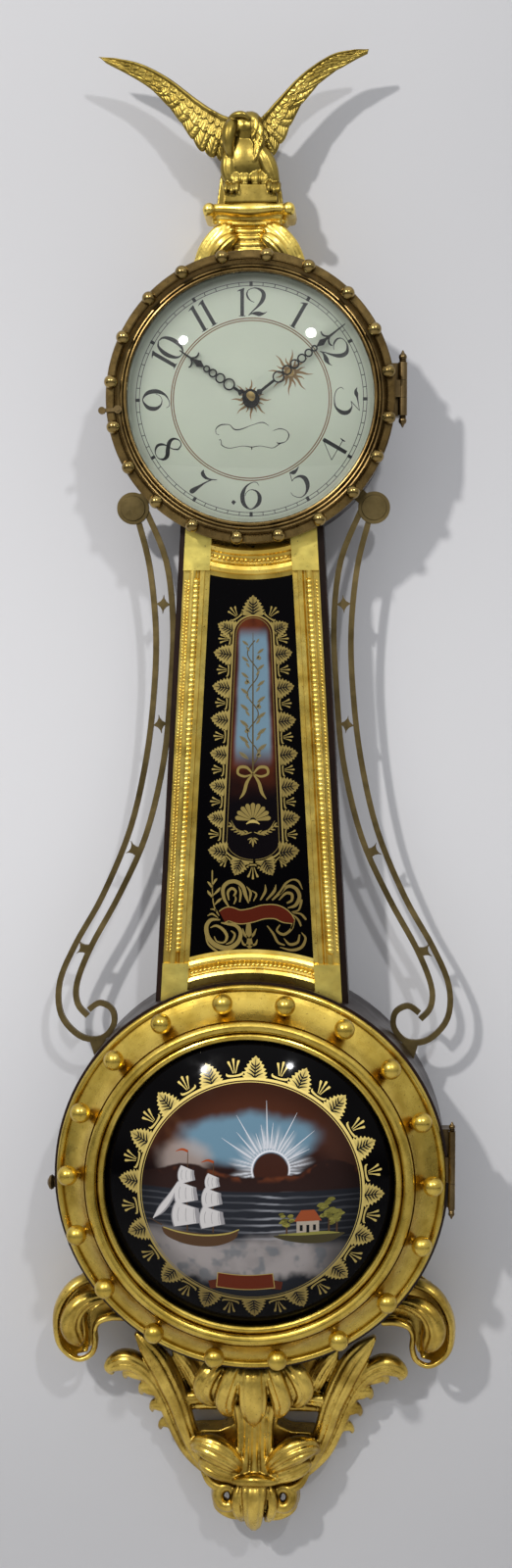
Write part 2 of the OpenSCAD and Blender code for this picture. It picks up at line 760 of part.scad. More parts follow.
minute_hoops = [[26.7, 4.6], [34.9, 3.9], [42.2, 3.7], [49.2, 3.5], [55.7, 3.2], [61.2, 2.5]];
hour_hoops = [[20.2, 4.6], [28.4, 3.9], [35.3, 3.3], [41, 2.7]];

module minute_hand() {
    color(black_steel) on_head(minute_depth) rotate(-minute_angle)
        hand(minute_len, minute_hoops, 2.5, 1.6, 5.5);
}

module hour_hand() {
    color(black_steel) on_head(hour_depth) rotate(-hour_angle) hand(hour_len, hour_hoops, 2.8, 2.5, 6.5);
}

module hand_nut() {
    color(brass) on_head(minute_depth + hand_t) {
        difference() {
            rotate_extrude() polygon([[0, 0], [3.4, 0], [3.4, 0.8], [2.6, 1.4], [2, 2.8], [1.2, 3.4], [0, 3.6]]);
            translate([0, 0, -cut]) cylinder(r = 1.2, h = cut + 1.2);
        }
    }
}

// Movement
third_at = [-26, 14];
escape_at = [-6, 31];
verge_at = [0, hang_rise];
third_dist = norm(third_at);
escape_dist = norm(third_at - escape_at);
great_teeth = 96;
centre_leaves = 8;
centre_teeth = 72;
third_leaves = 8;
third_teeth = 50;
escape_leaves = 10;
escape_teeth = 30;
great_m = 2 * wind_dist / (great_teeth + centre_leaves);
centre_m = 2 * third_dist / (centre_teeth + third_leaves);
third_m = 2 * escape_dist / (third_teeth + escape_leaves);
escape_r = 13;
plate_low = [-50, -42];
plate_high = [52, 68];
plate_corner = 8;
pillar_at = [[-43, -35], [45, -35], [-43, 61], [45, 61]];
cord_line = pulley_r + cord_r + 0.1;
hook_at = [-cord_line, -34];
cord_depth = plate_back + plate_t + 10;

function bearing(a, b) = atan2(b[1] - a[1], b[0] - a[0]);
// Lead of a wheel at b whose teeth meet those of a wheel at a, which has lead phase_a
function mesh(a, b, phase_a, teeth_a, teeth_b) = let (t = bearing(a, b))
    t + 180 - (phase_a - t) * teeth_a / teeth_b + 180 / teeth_b;
centre_lead = mesh(wind_at, [0, 0], 0, great_teeth, centre_leaves);
third_lead = mesh([0, 0], third_at, 0, centre_teeth, third_leaves);
escape_lead = mesh(third_at, escape_at, 0, third_teeth, escape_leaves);

module at(p, z = 0) { on_head(z) translate([p[0], p[1], 0]) children(); }

module plate_outline() {
    difference() {
        translate(plate_low) square(plate_high - plate_low);
        for (x = [plate_low[0], plate_high[0]], y = [plate_low[1], plate_high[1]])
            translate([x, y]) circle(plate_corner);
    }
}

module plate(holes) {
    linear_extrude(plate_t) difference() {
        plate_outline();
        for (h = holes) translate(flat(h)) circle(h[2]);
    }
}

function pivot(p, r) = [p[0], p[1], r + run_gap];
pivots = [pivot([0, 0], arbor_r), pivot(third_at, arbor_r), pivot(escape_at, arbor_r), pivot(verge_at, 1.2)];

module back_plate() {
    color(brass) on_head(plate_back) {
        plate(concat(pivots, [pivot(wind_at, 2.2)]));
        translate([hook_at[0], hook_at[1], plate_t]) {
            cylinder(r = 1.6, h = cord_depth - plate_back - plate_t);
            translate([-2, -2, cord_depth - plate_back - plate_t - 2]) cube([4, 4, 4]);
        }
    }
}

minute_post = [-15, 0];
module front_plate() {
    color(brass) on_head(plate_front) {
        plate(concat(pivots, [pivot(wind_at, wind_square * 0.75)]));
        translate([minute_post[0], minute_post[1], plate_t]) cylinder(r = 1.2, h = 6.6);
    }
}

module plate_pillars() {
    color(brass) for (p = pillar_at) {
        at(p, plate_back + plate_t) rotate_extrude() let (h = plate_front - plate_back - plate_t)
            polygon([[0, 0], [3.5, 0], [3.5, 2], [2.4, 4], [2.4, h / 2 - 3], [3.4, h / 2],
                [2.4, h / 2 + 3], [2.4, h - 4], [3.5, h - 2], [3.5, h], [0, h]]);
        at(p, board_t) cylinder(r = 4.5, h = plate_back - board_t);
    }
}

module arbor(r, low, high) { translate([0, 0, low]) cylinder(r = r, h = high - low); }

module great_wheel() {
    color(brass) at(wind_at, 37.5) difference() {
        linear_extrude(2) crossed(great_teeth * great_m / 2 - 1.5, 9, 5) toothed(great_teeth, great_m);
        translate([0, 0, -cut]) cylinder(r = 2.2 + run_gap, h = 4);
    }
}

module winding_drum() {
    color(brass) at(wind_at) {
        arbor(2.2, plate_back + 0.3, 44);
        arbor(wind_square * 0.75 - run_gap, 44, front_face);
        translate([0, 0, 20]) cylinder(r = 16, h = 1.6);
        translate([0, 0, 21.6]) cylinder(r = drum_r, h = 13.6);
        translate([0, 0, 35.2]) linear_extrude(1.8) difference() {
            circle(16);
            for (i = [0:23]) rotate(15 * i) translate([14.6, 0]) polygon([[0, 0], [2.4, 0.2], [2.4, 3]]);
        }
        translate([-wind_square / 2, -wind_square / 2, front_face])
            cube([wind_square, wind_square, dial_depth + dial_t - 0.4 - front_face]);
    }
}

module centre_wheel() {
    color(brass) at([0, 0]) {
        arbor(arbor_r, plate_back + 0.3, front_face + 1);
        arbor(1.2, front_face, minute_depth + hand_t + 1);
        translate([0, 0, 36.5]) linear_extrude(4.5) toothed(centre_leaves, great_m, centre_lead, 0.36, 0.7, 1.1);
        translate([0, 0, 42]) linear_extrude(1.8)
            crossed(centre_teeth * centre_m / 2 - 1.5, 6, 4) toothed(centre_teeth, centre_m);
    }
}

module third_wheel() {
    color(brass) at(third_at) {
        arbor(arbor_r, plate_back + 0.3, front_face - 0.2);
        translate([0, 0, 41]) linear_extrude(4) toothed(third_leaves, centre_m, third_lead, 0.36, 0.7, 1.1);
        translate([0, 0, 24]) linear_extrude(1.8)
            crossed(third_teeth * third_m / 2 - 1.5, 5, 4) toothed(third_teeth, third_m);
    }
}

module escape_wheel() {
    tooth = 360 / escape_teeth;
    color(brass) at(escape_at) {
        arbor(arbor_r, plate_back + 0.3, front_face - 0.2);
        translate([0, 0, 23]) linear_extrude(4) toothed(escape_leaves, third_m, escape_lead, 0.38, 0.75, 1.1);
        translate([0, 0, 30]) linear_extrude(1.6) crossed(escape_r - 2, 4, 4, 2.2, 2)
            polygon([for (i = [0:escape_teeth - 1]) each [polar(escape_r - 2, tooth * i),
                polar(escape_r, tooth * i + 1), polar(escape_r, tooth * i + 2.2),
                polar(escape_r - 2, tooth * i + 6.5)]]);
    }
}

// Verge: an anchor over the escape wheel, and a crutch that moves with the rod
verge_dist = norm(escape_at - verge_at);
verge_lean = bearing(escape_at, verge_at);
pallet_half = acos(escape_r / verge_dist);
pallet_gap = 1.5;
crutch_len = 26;
module verge() {
    pallet_tip = [for (s = [-1, 1]) escape_at + polar(escape_r + pallet_gap, verge_lean + s * pallet_half) - verge_at];
    pallet_knee = [for (s = [-1, 1]) escape_at + polar(escape_r + 6, verge_lean + s * pallet_half * 0.86) - verge_at];
    color(steel) at(verge_at) {
        arbor(1.2, plate_back + 0.3, front_face + 4.3);
        translate([0, 0, 29]) linear_extrude(3.6) {
            circle(3);
            for (s = [0, 1]) polygon(concat(
                beside([[0, 0], pallet_knee[s], pallet_tip[s]], 1.1),
                turned(beside([[0, 0], pallet_knee[s], pallet_tip[s]], -1.1))));
        }
        translate([-1, -crutch_len, front_face + 3]) cube([2, crutch_len, 1.3]);
        for (s = [-1, 1]) translate([s * (rod_r + 0.9) - 0.6, -crutch_len, front_face + 3])
            cube([1.2, 3, rod_depth + rod_r - front_face - 3]);
        translate([-rod_r - 1.5, -crutch_len, front_face + 3]) cube([2 * rod_r + 3, 3, 1.3]);
    }
}

module suspension_bridge() {
    bridge_depth = rod_depth + 3.4;
    color(brass) at(verge_at) {
        for (x = [-14, 14]) translate([x, 11, front_face]) cylinder(r = 2.5, h = bridge_depth - front_face);
        translate([0, 0, bridge_depth]) linear_extrude(2) union() {
            for (x = [-14, 14]) translate([x, 11]) circle(4);
            translate([-14, 8]) square([28, 6]);
            circle(4);
            translate([-3, 0]) square([6, 10]);
        }
        translate([0, 0, rod_depth - 2.2]) cylinder(r = 1.2, h = bridge_depth - rod_depth + 2.2);
        translate([0, 0, rod_depth - 3]) cylinder(r = 2, h = 0.8);
    }
}

// Motion work behind the dial
motion_m = 2 * norm(minute_post) / 48;
hour_m = 2 * norm(minute_post) / 50;
cannon_lead = mesh(minute_post, [0, 0], 0, 36, 12);
hour_lead = mesh(minute_post, [0, 0], 0, 10, 40);

module cannon_pinion() {
    color(brass) at([0, 0], front_face + 1.5) difference() {
        union() {
            linear_extrude(2.2) toothed(12, motion_m, cannon_lead, 0.36, 0.75, 1.1);
            cylinder(r = 2.1, h = minute_depth - front_face - 1.5);
        }
        translate([0, 0, -cut]) cylinder(r = 1.2 + run_gap, h = 40);
    }
}

module minute_wheel() {
    color(brass) at(minute_post, front_face + 1.7) difference() {
        union() {
            linear_extrude(1.6) crossed(36 * motion_m / 2 - 1.2, 4, 4, 2.2, 2) toothed(36, motion_m);
            linear_extrude(4.2) toothed(10, hour_m, 0, 0.36, 0.7, 1.1);
        }
        translate([0, 0, -cut]) cylinder(r = 1.2 + run_gap, h = 8);
    }
}

module hour_wheel() {
    color(brass) at([0, 0], front_face + 4.3) difference() {
        union() {
            linear_extrude(1.5) crossed(40 * hour_m / 2 - 1.2, 5, 4, 2.2, 2) toothed(40, hour_m, hour_lead);
            cylinder(r = pipe_r, h = hour_depth - front_face - 4.6);
            cylinder(r = 2.5, h = hour_depth + hand_t - front_face - 4.3);
        }
        translate([0, 0, -cut]) cylinder(r = 2.1 + run_gap, h = 40);
    }
}

// Weight, pulley and cord
weight_back = board_t + weight_gap;
weight_top = head_z - weight_drop;
pulley_z = weight_top + pulley_r + 5;
pulley_flange = pulley_r + 2.6;

module weight() {
    color("#3c3c3e") {
        face_on(0, weight_top - weight_h, weight_back) difference() {
            translate([-weight_w / 2, 0, 0]) cube([weight_w, weight_h, weight_t]);
            for (s = [-1, 1]) translate([s * weight_w / 2, weight_h, -cut]) rotate(45)
                cube([9, 9, 2 * weight_t + 4], center = true);
        }
        for (z = [cord_depth - 4.6, cord_depth + 3])
            face_on(-3, weight_top, z) cube([6, pulley_z - weight_top + 4, 1.6]);
        face_on(0, pulley_z, cord_depth - 4.6) cylinder(r = 1.5, h = 9.2);
    }
}

module weight_pulley() {
    color(brass) face_on(0, pulley_z, cord_depth) difference() {
        rotate_extrude() polygon([[0, -2.6], [pulley_flange, -2.6], [pulley_flange, -1.8],
            [pulley_r, -0.8], [pulley_r, 0.8], [pulley_flange, 1.8], [pulley_flange, 2.6], [0, 2.6]]);
        translate([0, 0, -5]) cylinder(r = 1.5 + run_gap, h = 10);
    }
}

// The two falls of the cord and the half turn under the pulley
cord_top = head_z + hook_at[1] - 2;
module weight_cord() {
    color("#b8ab8a") face_on(0, pulley_z, cord_depth) {
        both() translate([cord_line, 0, 0]) rotate([-90, 0, 0])
            cylinder(r = cord_r, h = cord_top - pulley_z);
        rotate(180) rotate_extrude(angle = 180) translate([cord_line, 0]) circle(cord_r);
    }
}

module cord_lead() {
    color("#b8ab8a") face_on(cord_line, cord_top, cord_depth) rotate([-90, 0, 0])
        cylinder(r = cord_r, h = head_z + wind_at[1] - cord_top);
}

// Pendulum
bob_z = head_z - bob_drop;
pendulum_top = head_z + hang_rise;
nut_pitch = 0.6;
loop_half = 10;
loop_high = 15;

module pendulum_rod() {
    color(brass) {
        face_on(0, pendulum_top, rod_depth) difference() {
            union() {
                translate([0, 0, -1.2]) cylinder(r = 3, h = 2.4);
                rotate([90, 0, 0]) translate([0, 0, 2.5]) cylinder(r = rod_r, h = hang_rise - loop_high - 2);
            }
            translate([0, 0, -5]) cylinder(r = 1.2 + run_gap, h = 10);
        }
        face_on(0, head_z, rod_depth - 1.2) linear_extrude(2.4) difference() {
            polygon([[-loop_half * 0.7 - 2.4, loop_high + 2.4], [loop_half * 0.7 + 2.4, loop_high + 2.4],
                [loop_half + 2.4, 0], [3, -loop_high - 2.4], [-3, -loop_high - 2.4], [-loop_half - 2.4, 0]]);
            polygon([[-loop_half * 0.7, loop_high], [loop_half * 0.7, loop_high], [loop_half, 0],
                [1.5, -loop_high], [-1.5, -loop_high], [-loop_half, 0]]);
        }
        face_on(0, head_z - loop_high - 1.5, rod_depth) rotate([90, 0, 0])
            cylinder(r = rod_r, h = bob_drop + bob_r + 24 - loop_high);
    }
}

module pendulum_bob() {
    color(brass) face_on(0, bob_z, rod_depth) difference() {
        rotate_extrude() polygon(concat([[0, -bob_t / 2]],
            [for (a = [10:10:80]) [bob_r * sin(a), -bob_t / 2 * cos(a) - 0.6]],
            [[bob_r, -0.8], [bob_r, 0.8]],
            [for (a = [80:-10:10]) [bob_r * sin(a), bob_t / 2 * cos(a) + 0.6]], [[0, bob_t / 2]]));
        translate([0, -bob_r - cut, 0]) rotate([-90, 0, 0]) cylinder(r = rod_r + run_gap, h = 2 * bob_r + 2 * cut);
    }
}

module rating_nut() {
    color(brass) face_on(0, bob_z - bob_r - 0.3, rod_depth) rotate([90, 0, 0]) difference() {
        union() {
            cylinder(r = 5.5, h = 3);
            cylinder(r = 3.5, h = 6);
        }
        translate([0, 0, -cut]) cylinder(r = rod_r + run_gap, h = 8);
    }
}

// Side arms. The curves are drawn for an arm whose disc is at arm_disc_drawn and
// whose curl rests at arm_foot_drawn, and are moved to where the case puts those.
arm_disc_drawn = [94.5, -80.5];
arm_foot_drawn = [126, -505];
arm_disc_angle = -40.4;
arm_foot_angle = 37.9;
arm_disc = polar(head_r + disc_gap + disc_r, arm_disc_angle);
arm_foot = [0, -centre_drop] + polar(base_r + 2.2, arm_foot_angle);
arm_outer = [[90, -92], [81.5, -127], [77, -175], [78.5, -222], [85, -276], [98.5, -333], [121, -386],
    [144, -426], [157, -456], [156.5, -482], [142, -499], [125, -501], [114.5, -490.5], [115, -478],
    [125, -472.5], [134, -478]];
arm_inner = [[84, -83], [68.5, -122], [63.4, -170], [65.6, -221], [71.2, -278], [86, -338], [108, -386],
    [131, -427], [143, -456], [143, -473], [135, -483]];
arm_diamonds = [[71, -155.5, 4], [74, -250, -9], [95.5, -350, -20], [137, -429, -33]];

function arm_moved(p) = let (t = (p[1] - arm_disc_drawn[1]) / (arm_foot_drawn[1] - arm_disc_drawn[1]))
    flat(p) + lerp(arm_disc - arm_disc_drawn, arm_foot - arm_foot_drawn, t * t * t);
function arm_curve(p) = curve([for (q = p) arm_moved(q)], 5);

// Hollow sided diamond that joins the two rails
module arm_diamond(p) {
    half = 7.5;
    translate(arm_moved(p)) rotate(p[2]) polygon(concat(
        arc([half, half], half, 180, 270, 4), arc([half, -half], half, 90, 180, 4),
        arc([-half, -half], half, 0, 90, 4), arc([-half, half], half, 270, 360, 4)));
}

module side_arm() {
    difference() {
        on_head(arm_depth) {
            bar(arm_curve(arm_outer), rail_w, arm_t);
            bar(arm_curve(arm_inner), rail_w, arm_t);
            for (p = arm_diamonds) linear_extrude(arm_t) arm_diamond(p);
            translate(arm_disc) cylinder(r = disc_r, h = arm_t + 1);
            translate(arm_disc) cylinder(r1 = disc_r - 1, r2 = disc_r - 3, h = arm_t + 2);
            translate(arm_disc) rotate(arm_disc_angle) translate([-disc_r - 6, -5, 0]) cube([12, 10, arm_t]);
            linear_extrude(arm_t) polygon([arm_foot + [-7, 3], arm_foot + [8, 3], arm_foot + [4, -10],
                arm_foot + [-10, -6]]);
        }
        drums();
    }
}
module side_arm_right() { color(aged_brass) side_arm(); }
module side_arm_left() { color(aged_brass) mirror([1, 0, 0]) side_arm(); }

// Eagle and its plinth
cap_t = 13;
plinth_back = 16;
plinth_front = 60;
block_h = 12;
module eagle_plinth() {
    color(gilt) difference() {
        face_on(eagle_shift, head_z, 0) {
            translate([0, 0, plinth_back]) linear_extrude(plinth_front - plinth_back) polygon(concat(
                curve([[42, 94], [41, 104], [33, 116], [27, 128], [25.5, cap_rise]], 3),
                turned(mirrored(curve([[42, 94], [41, 104], [33, 116], [27, 128], [25.5, cap_rise]], 3)))));
            translate([-30, cap_rise, plinth_back]) cube([60, cap_t - 3, plinth_front - plinth_back + 2]);
            translate([-32, cap_rise + cap_t - 3, plinth_back - 1]) cube([64, 3, plinth_front - plinth_back + 4]);
            both() translate([30, cap_rise + 5.5, plinth_back - 1]) {
                cylinder(r = 6, h = plinth_front - plinth_back + 5);
                translate([0, 0, plinth_front - plinth_back + 5]) cylinder(r1 = 3, r2 = 2, h = 1.5);
            }
            both() {
                leaf([[38, 96, plinth_front - 3], [31, 110, plinth_front - 2], [24, 121, plinth_front - 1],
                    [16, 127, plinth_front]], [7, 8.5, 7, 3.5], [3, 4.5, 4.5, 2.5], 4);
                leaf([[30, 98, plinth_front - 3], [22, 108, plinth_front - 2], [14, 114, plinth_front - 1],
                    [8, 115, plinth_front]], [6, 6.5, 5, 2.5], [2.5, 4, 4, 2], 4);
            }
        }
        drums();
    }
}

// Rows of the eagle's body, from its seat on the block to the top of its head
eagle_rows = [[0, block_rise + block_h - 4, 38, 17, 13], [0, 174, 39, 18.5, 15], [0, 186, 41, 18, 16],
    [0, 198, 42, 15.5, 14.5], [-1, 207, 43, 12, 12], [-3, 214, 45, 8.5, 9.5], [-6, 219, 47, 5, 6],
    [-7, 221, 47, 1.5, 2]];

module eagle_body() {
    color(gilt) face_on(eagle_shift, head_z, 0) {
        translate([-21, block_rise, plinth_back + 2]) cube([42, block_h, plinth_front - plinth_back - 5]);
        body_of_rings(eagle_rows);
        leaf([[-5, 217, 52], [-9, 214, 55], [-11, 209, 56], [-10.5, 204, 55]], [5, 4.5, 3, 0.9],
            [3, 3, 2.2, 0.5], 5);
        for (x = [-11, 11]) body_of_rings([[x, block_rise + block_h - 2, 48, 5, 5], [x, 172, 49, 7.5, 7.5],
            [x, 181, 47, 8, 8], [x, 190, 44, 5, 6]], 10);
        leaf([[0, 176, 28], [0, 168, 24], [0, 160, 22], [0, block_rise + 1, 21]], [9, 11, 13, 13],
            [3, 3, 2, 1], 4);
    }
}

// A wing skinned over chords from its upper to its lower edge, with a notched lower edge
function wing_rings(upper, lower, near, far, thick, steps = 3) = let (
    u = curve(upper, steps), l = curve(lower, steps), n = len(u) - 1)
    [for (i = [0:n]) let (t = i / n, notch = (i % 3 == 2 ? 0.1 : 0), a = u[i], b = lerp(l[i], u[i], notch),
        z = lerp(near, far, t), h = lerp(thick, 1.2, t)) [
        [a[0], a[1], z], [lerp(a[0], b[0], 0.12), lerp(a[1], b[1], 0.12), z + h],
        [lerp(a[0], b[0], 0.5), lerp(a[1], b[1], 0.5), z + h * 0.75],
        [b[0], b[1], z + 0.8], [b[0], b[1], z - 0.8],
        [lerp(a[0], b[0], 0.5), lerp(a[1], b[1], 0.5), z - h * 0.6]]];

wing_left_upper = [[0, 214], [-20, 217], [-35, 228], [-50, 239], [-69, 251], [-94, 261], [-113, 265]];
wing_left_lower = [[-2, 178], [-24, 189], [-38, 197], [-53, 216], [-71, 238], [-92, 254], [-113, 261]];
wing_right_upper = [[0, 214], [10, 218], [25, 238], [38, 251], [52, 262], [71, 269], [91, 270.5]];
wing_right_lower = [[4, 178], [17, 191], [28, 208], [37, 229], [55, 247], [74, 260], [91, 266]];
module eagle_wings() {
    color(gilt) difference() {
        face_on(0, head_z, 0) {
            skin([for (r = wing_rings(wing_left_upper, wing_left_lower, eagle_depth, eagle_depth + 12, 6)) turned(r)]);
            skin(wing_rings(wing_right_upper, wing_right_lower, eagle_depth, eagle_depth + 12, 6));
        }
        face_on(eagle_shift, head_z, 0) body_of_rings(eagle_rows);
    }
}

// Bracket below the base, measured down from just under the base case. Its carving
// and that of the side scrolls is drawn for a case of radius 154.5, and grows with it.
carving = base_r / 154.5;
bracket_z = base_z - base_r - 2.5 * carving;
module bracket_outline() {
    scale([carving, carving]) polygon(concat(
        curve([[89, 25], [76, -30], [64, -58], [50, -82], [34, -104], [14, -118]], 3),
        curve([[-14, -118], [-34, -104], [-50, -82], [-64, -58], [-76, -30], [-89, 25]], 3)));
}

module bracket_body() {
    color(gilt) difference() {
        face_on(0, bracket_z, 0) linear_extrude(bracket_depth - 14) difference() {
            bracket_outline();
            both() scale([carving, carving]) polygon(curve([[20, -51], [50, -50], [51, -62], [44, -70], [30, -68], [20, -62], [20, -51]], 3));
            both() translate(carving * [35, -101]) rotate(35) scale([1.7, 1]) circle(4.2 * carving);
        }
        drums();
    }
}

module bracket_leaves() {
    color(gilt) difference() {
        face_on(0, bracket_z, 0) scale([carving, carving, carving]) {
            // Long stems that rise from the drop to the leaf tips at each side
            both() {
                leaf([[20, -98, 20], [42, -74, 24], [60, -48, 27], [74, -26, 28], [88, -10, 28], [103, -4, 27],
                    [116, -9, 25], [121, -15, 23]], [6, 9, 11, 10, 8, 6.5, 5, 2], [6, 8, 9, 9, 7, 6, 4, 1.5], 12);
                leaf([[70, -30, 20], [78, -37, 20], [86, -40, 18], [88, -47, 16]], [7, 6, 5, 1.5], [5, 5, 4, 1], 8);
                leaf([[52, -40, 30], [58, -14, 34], [66, 8, 34], [72, 24, 30]], [6, 8, 8, 3], [6, 7, 6, 2], 16);
                leaf([[38, -30, 27], [40, -6, 30], [42, 10, 30]], [7, 9, 6], [5, 6, 4], 14);
                // Rounded lobes beside the middle
                leaf([[50, -70, 26], [38, -78, 31], [26, -86, 33], [18, -96, 30]], [5, 9, 10, 5], [6, 9, 9, 4], 14);
            }
            // Middle acanthus, turned over at the top and pointing down
            leaf([[0, 2, 50], [0, -8, 56], [0, -22, 58], [0, -36, 52], [0, -47, 46]], [34, 38, 30, 15, 2],
                [6, 9, 10, 8, 2], 22);
            both() leaf([[22, 0, 50], [32, -12, 54], [37, -22, 50], [38, -30, 44]], [9, 10, 9, 4], [6, 8, 8, 3], 18);
            leaf([[0, -44, 38], [0, -70, 34], [0, -92, 32], [0, -101.5, 31]], [12, 9, 13, 15], [5, 4, 5, 6], 14);
        }
        drums();
        bracket_body_space();
    }
}
module bracket_body_space() {
    face_on(0, bracket_z, 0) linear_extrude(bracket_depth - 14) bracket_outline();
}

module bracket_drop() {
    color(gilt) difference() {
        face_on(0, bracket_z, 0) scale([carving, carving, carving]) {
            difference() {
                union() {
                    both() body_of_rings([[23, -134, 26, 8, 12], [24, -126, 26, 15, 18], [24, -117, 26, 16, 20],
                        [23, -108, 26, 13, 16]], 14);
                    leaf([[0, -102, 34], [0, -116, 40], [0, -128, 36], [0, -140, 28], [0, -153, 18]],
                        [13, 14, 13, 9, 1.2], [5, 7, 7, 5, 1.5], 18);
                }
                both() translate([23.5, -118, 26]) cylinder(r = 4.6, h = 30);
            }
        }
        face_on(0, bracket_z, -40) linear_extrude(40) square(400, center = true);
        bracket_body_space();
    }
}

// Scrolled leaves at the lower left and right of the base case
module scroll_leaf() {
    leaf([[118, -88, 34], [136, -96, 42], [150, -112, 46], [155, -130, 46], [148, -145, 42], [136, -143, 38]],
        [13, 14, 12, 11, 9, 4], [8, 12, 13, 12, 9, 3], 22);
    leaf([[128, -88, 52], [142, -104, 56], [148, -122, 54], [144, -136, 48]], [3.5, 5, 5, 2], [4, 5, 5, 2], 8);
}

module bracket_scrolls() {
    color(gilt) difference() {
        on_base() both() scale([carving, carving, carving]) scroll_leaf();
        drums();
    }
}

backboard();
hanger_plate();
head_case();
throat_sides();
base_case();
throat_stiles();
throat_rail_top();
throat_rail_bottom();
throat_corner_blocks();
throat_glass();
base_door_frame();
base_door_balls();
base_door_glass();
base_hinge_door_leaf();
hinge_case_leaves();
hinge_pins();
base_lock_knob();
base_door_keeper();
bezel_ring();
bezel_balls();
bezel_glass();
bezel_hinge_door_leaf();
bezel_catch();
dial();
dial_feet();
hour_hand();
minute_hand();
hand_nut();
back_plate();
front_plate();
plate_pillars();
great_wheel();
winding_drum();
centre_wheel();
third_wheel();
escape_wheel();
verge();
suspension_bridge();
cannon_pinion();
minute_wheel();
hour_wheel();
weight();
weight_pulley();
weight_cord();
cord_lead();
weight_baffle();
pendulum_rod();
pendulum_bob();
rating_nut();
side_arm_left();
side_arm_right();
eagle_body();
eagle_wings();
eagle_plinth();
bracket_body();
bracket_leaves();
bracket_scrolls();
bracket_drop();
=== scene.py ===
"""Looks of a girandole wall clock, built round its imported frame. Lengths in code are millimetres."""

import math
import random

import bpy
import bmesh
import numpy as np
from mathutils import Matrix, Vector
from mathutils.bvhtree import BVHTree


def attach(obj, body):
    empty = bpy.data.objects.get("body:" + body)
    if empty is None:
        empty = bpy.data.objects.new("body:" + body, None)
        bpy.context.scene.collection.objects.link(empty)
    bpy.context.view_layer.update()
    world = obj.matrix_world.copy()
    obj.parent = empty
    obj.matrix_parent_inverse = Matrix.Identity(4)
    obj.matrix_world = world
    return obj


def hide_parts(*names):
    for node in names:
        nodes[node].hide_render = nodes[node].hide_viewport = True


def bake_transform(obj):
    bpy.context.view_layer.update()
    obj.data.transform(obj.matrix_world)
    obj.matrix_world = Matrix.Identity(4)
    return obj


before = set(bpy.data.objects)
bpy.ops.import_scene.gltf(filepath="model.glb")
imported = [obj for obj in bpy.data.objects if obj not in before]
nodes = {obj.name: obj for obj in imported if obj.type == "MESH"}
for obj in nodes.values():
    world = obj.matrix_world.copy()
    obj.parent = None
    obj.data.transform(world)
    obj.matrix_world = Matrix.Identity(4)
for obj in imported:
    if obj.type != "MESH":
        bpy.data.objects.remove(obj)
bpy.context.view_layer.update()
rng = random.Random(7)
MM = 0.001

# Heights of the two centres, from the hanging hole
HEAD = -70.0
BASE = -673.0


# Materials, by name
MATS = {}


class Tree:
    """A node tree, built socket by socket."""

    def __init__(self, tree):
        self.t = tree

    def node(self, kind, **props):
        n = self.t.nodes.new(kind)
        for k, v in props.items():
            setattr(n, k, v)
        return n

    def put(self, n, key, v):
        if isinstance(v, bpy.types.NodeSocket):
            self.t.links.new(v, n.inputs[key])
        else:
            n.inputs[key].default_value = v

    def ramp(self, fac, stops, kind="LINEAR"):
        n = self.node("ShaderNodeValToRGB")
        n.color_ramp.interpolation = kind
        e = n.color_ramp.elements
        for pos, _ in stops[1:-1]:
            e.new(pos)
        for item, (pos, c) in zip(e, stops):
            item.position = pos
            item.color = (c, c, c, 1) if isinstance(c, (int, float)) else (*c, 1)
        self.put(n, "Fac", fac)
        return n.outputs["Color"]

    def mix(self, fac, a, b, kind="MIX"):
        n = self.node("ShaderNodeMix", data_type="RGBA", blend_type=kind)
        for key, v in ((0, fac), (6, a), (7, b)):
            if isinstance(v, bpy.types.NodeSocket):
                self.t.links.new(v, n.inputs[key])
            else:
                n.inputs[key].default_value = v if key == 0 else (*v, 1)
        return n.outputs[2]

    def maths(self, kind, a, b=0.5):
        n = self.node("ShaderNodeMath", operation=kind)
        self.put(n, 0, a)
        self.put(n, 1, b)
        return n.outputs[0]


class Mat(Tree):
    """A material of nodes."""

    def __init__(self, name, **fixed):
        self.name, self.m = name, bpy.data.materials.new(name)
        self.m.use_nodes = True
        super().__init__(self.m.node_tree)
        self.b = self.t.nodes["Principled BSDF"]
        self.place = self.node("ShaderNodeTexCoord").outputs["Object"]
        for k, v in fixed.items():
            self.b.inputs[k.replace("_", " ")].default_value = v

    def noise(self, scale, detail=3, rough=0.5, stretch=None, distort=0.0):
        n = self.node("ShaderNodeTexNoise")
        self.put(n, "Vector", self.stretched(stretch) if stretch else self.place)
        for k, v in (("Scale", scale), ("Detail", detail), ("Roughness", rough), ("Distortion", distort)):
            self.put(n, k, v)
        return n.outputs["Fac"]

    def stretched(self, by):
        n = self.node("ShaderNodeMapping")
        self.put(n, "Vector", self.place)
        self.put(n, "Scale", by)
        return n.outputs["Vector"]

    # Ambient occlusion, used to paint shade into recesses
    def cavity(self, reach):
        n = self.node("ShaderNodeAmbientOcclusion", samples=6)
        self.put(n, "Distance", reach * MM)
        return n.outputs["AO"]

    def bump(self, height, strength, depth):
        n = self.node("ShaderNodeBump")
        self.put(n, "Height", height)
        self.put(n, "Strength", strength)
        self.put(n, "Distance", depth * MM)
        return n.outputs["Normal"]

    def done(self, **sockets):
        for k, v in sockets.items():
            key = k.replace("_", " ")
            if not isinstance(v, bpy.types.NodeSocket) and hasattr(v, "__len__") and len(v) == 3:
                v = (*v, 1)
            self.put(self.b, key, v)
        MATS[self.name] = self.m


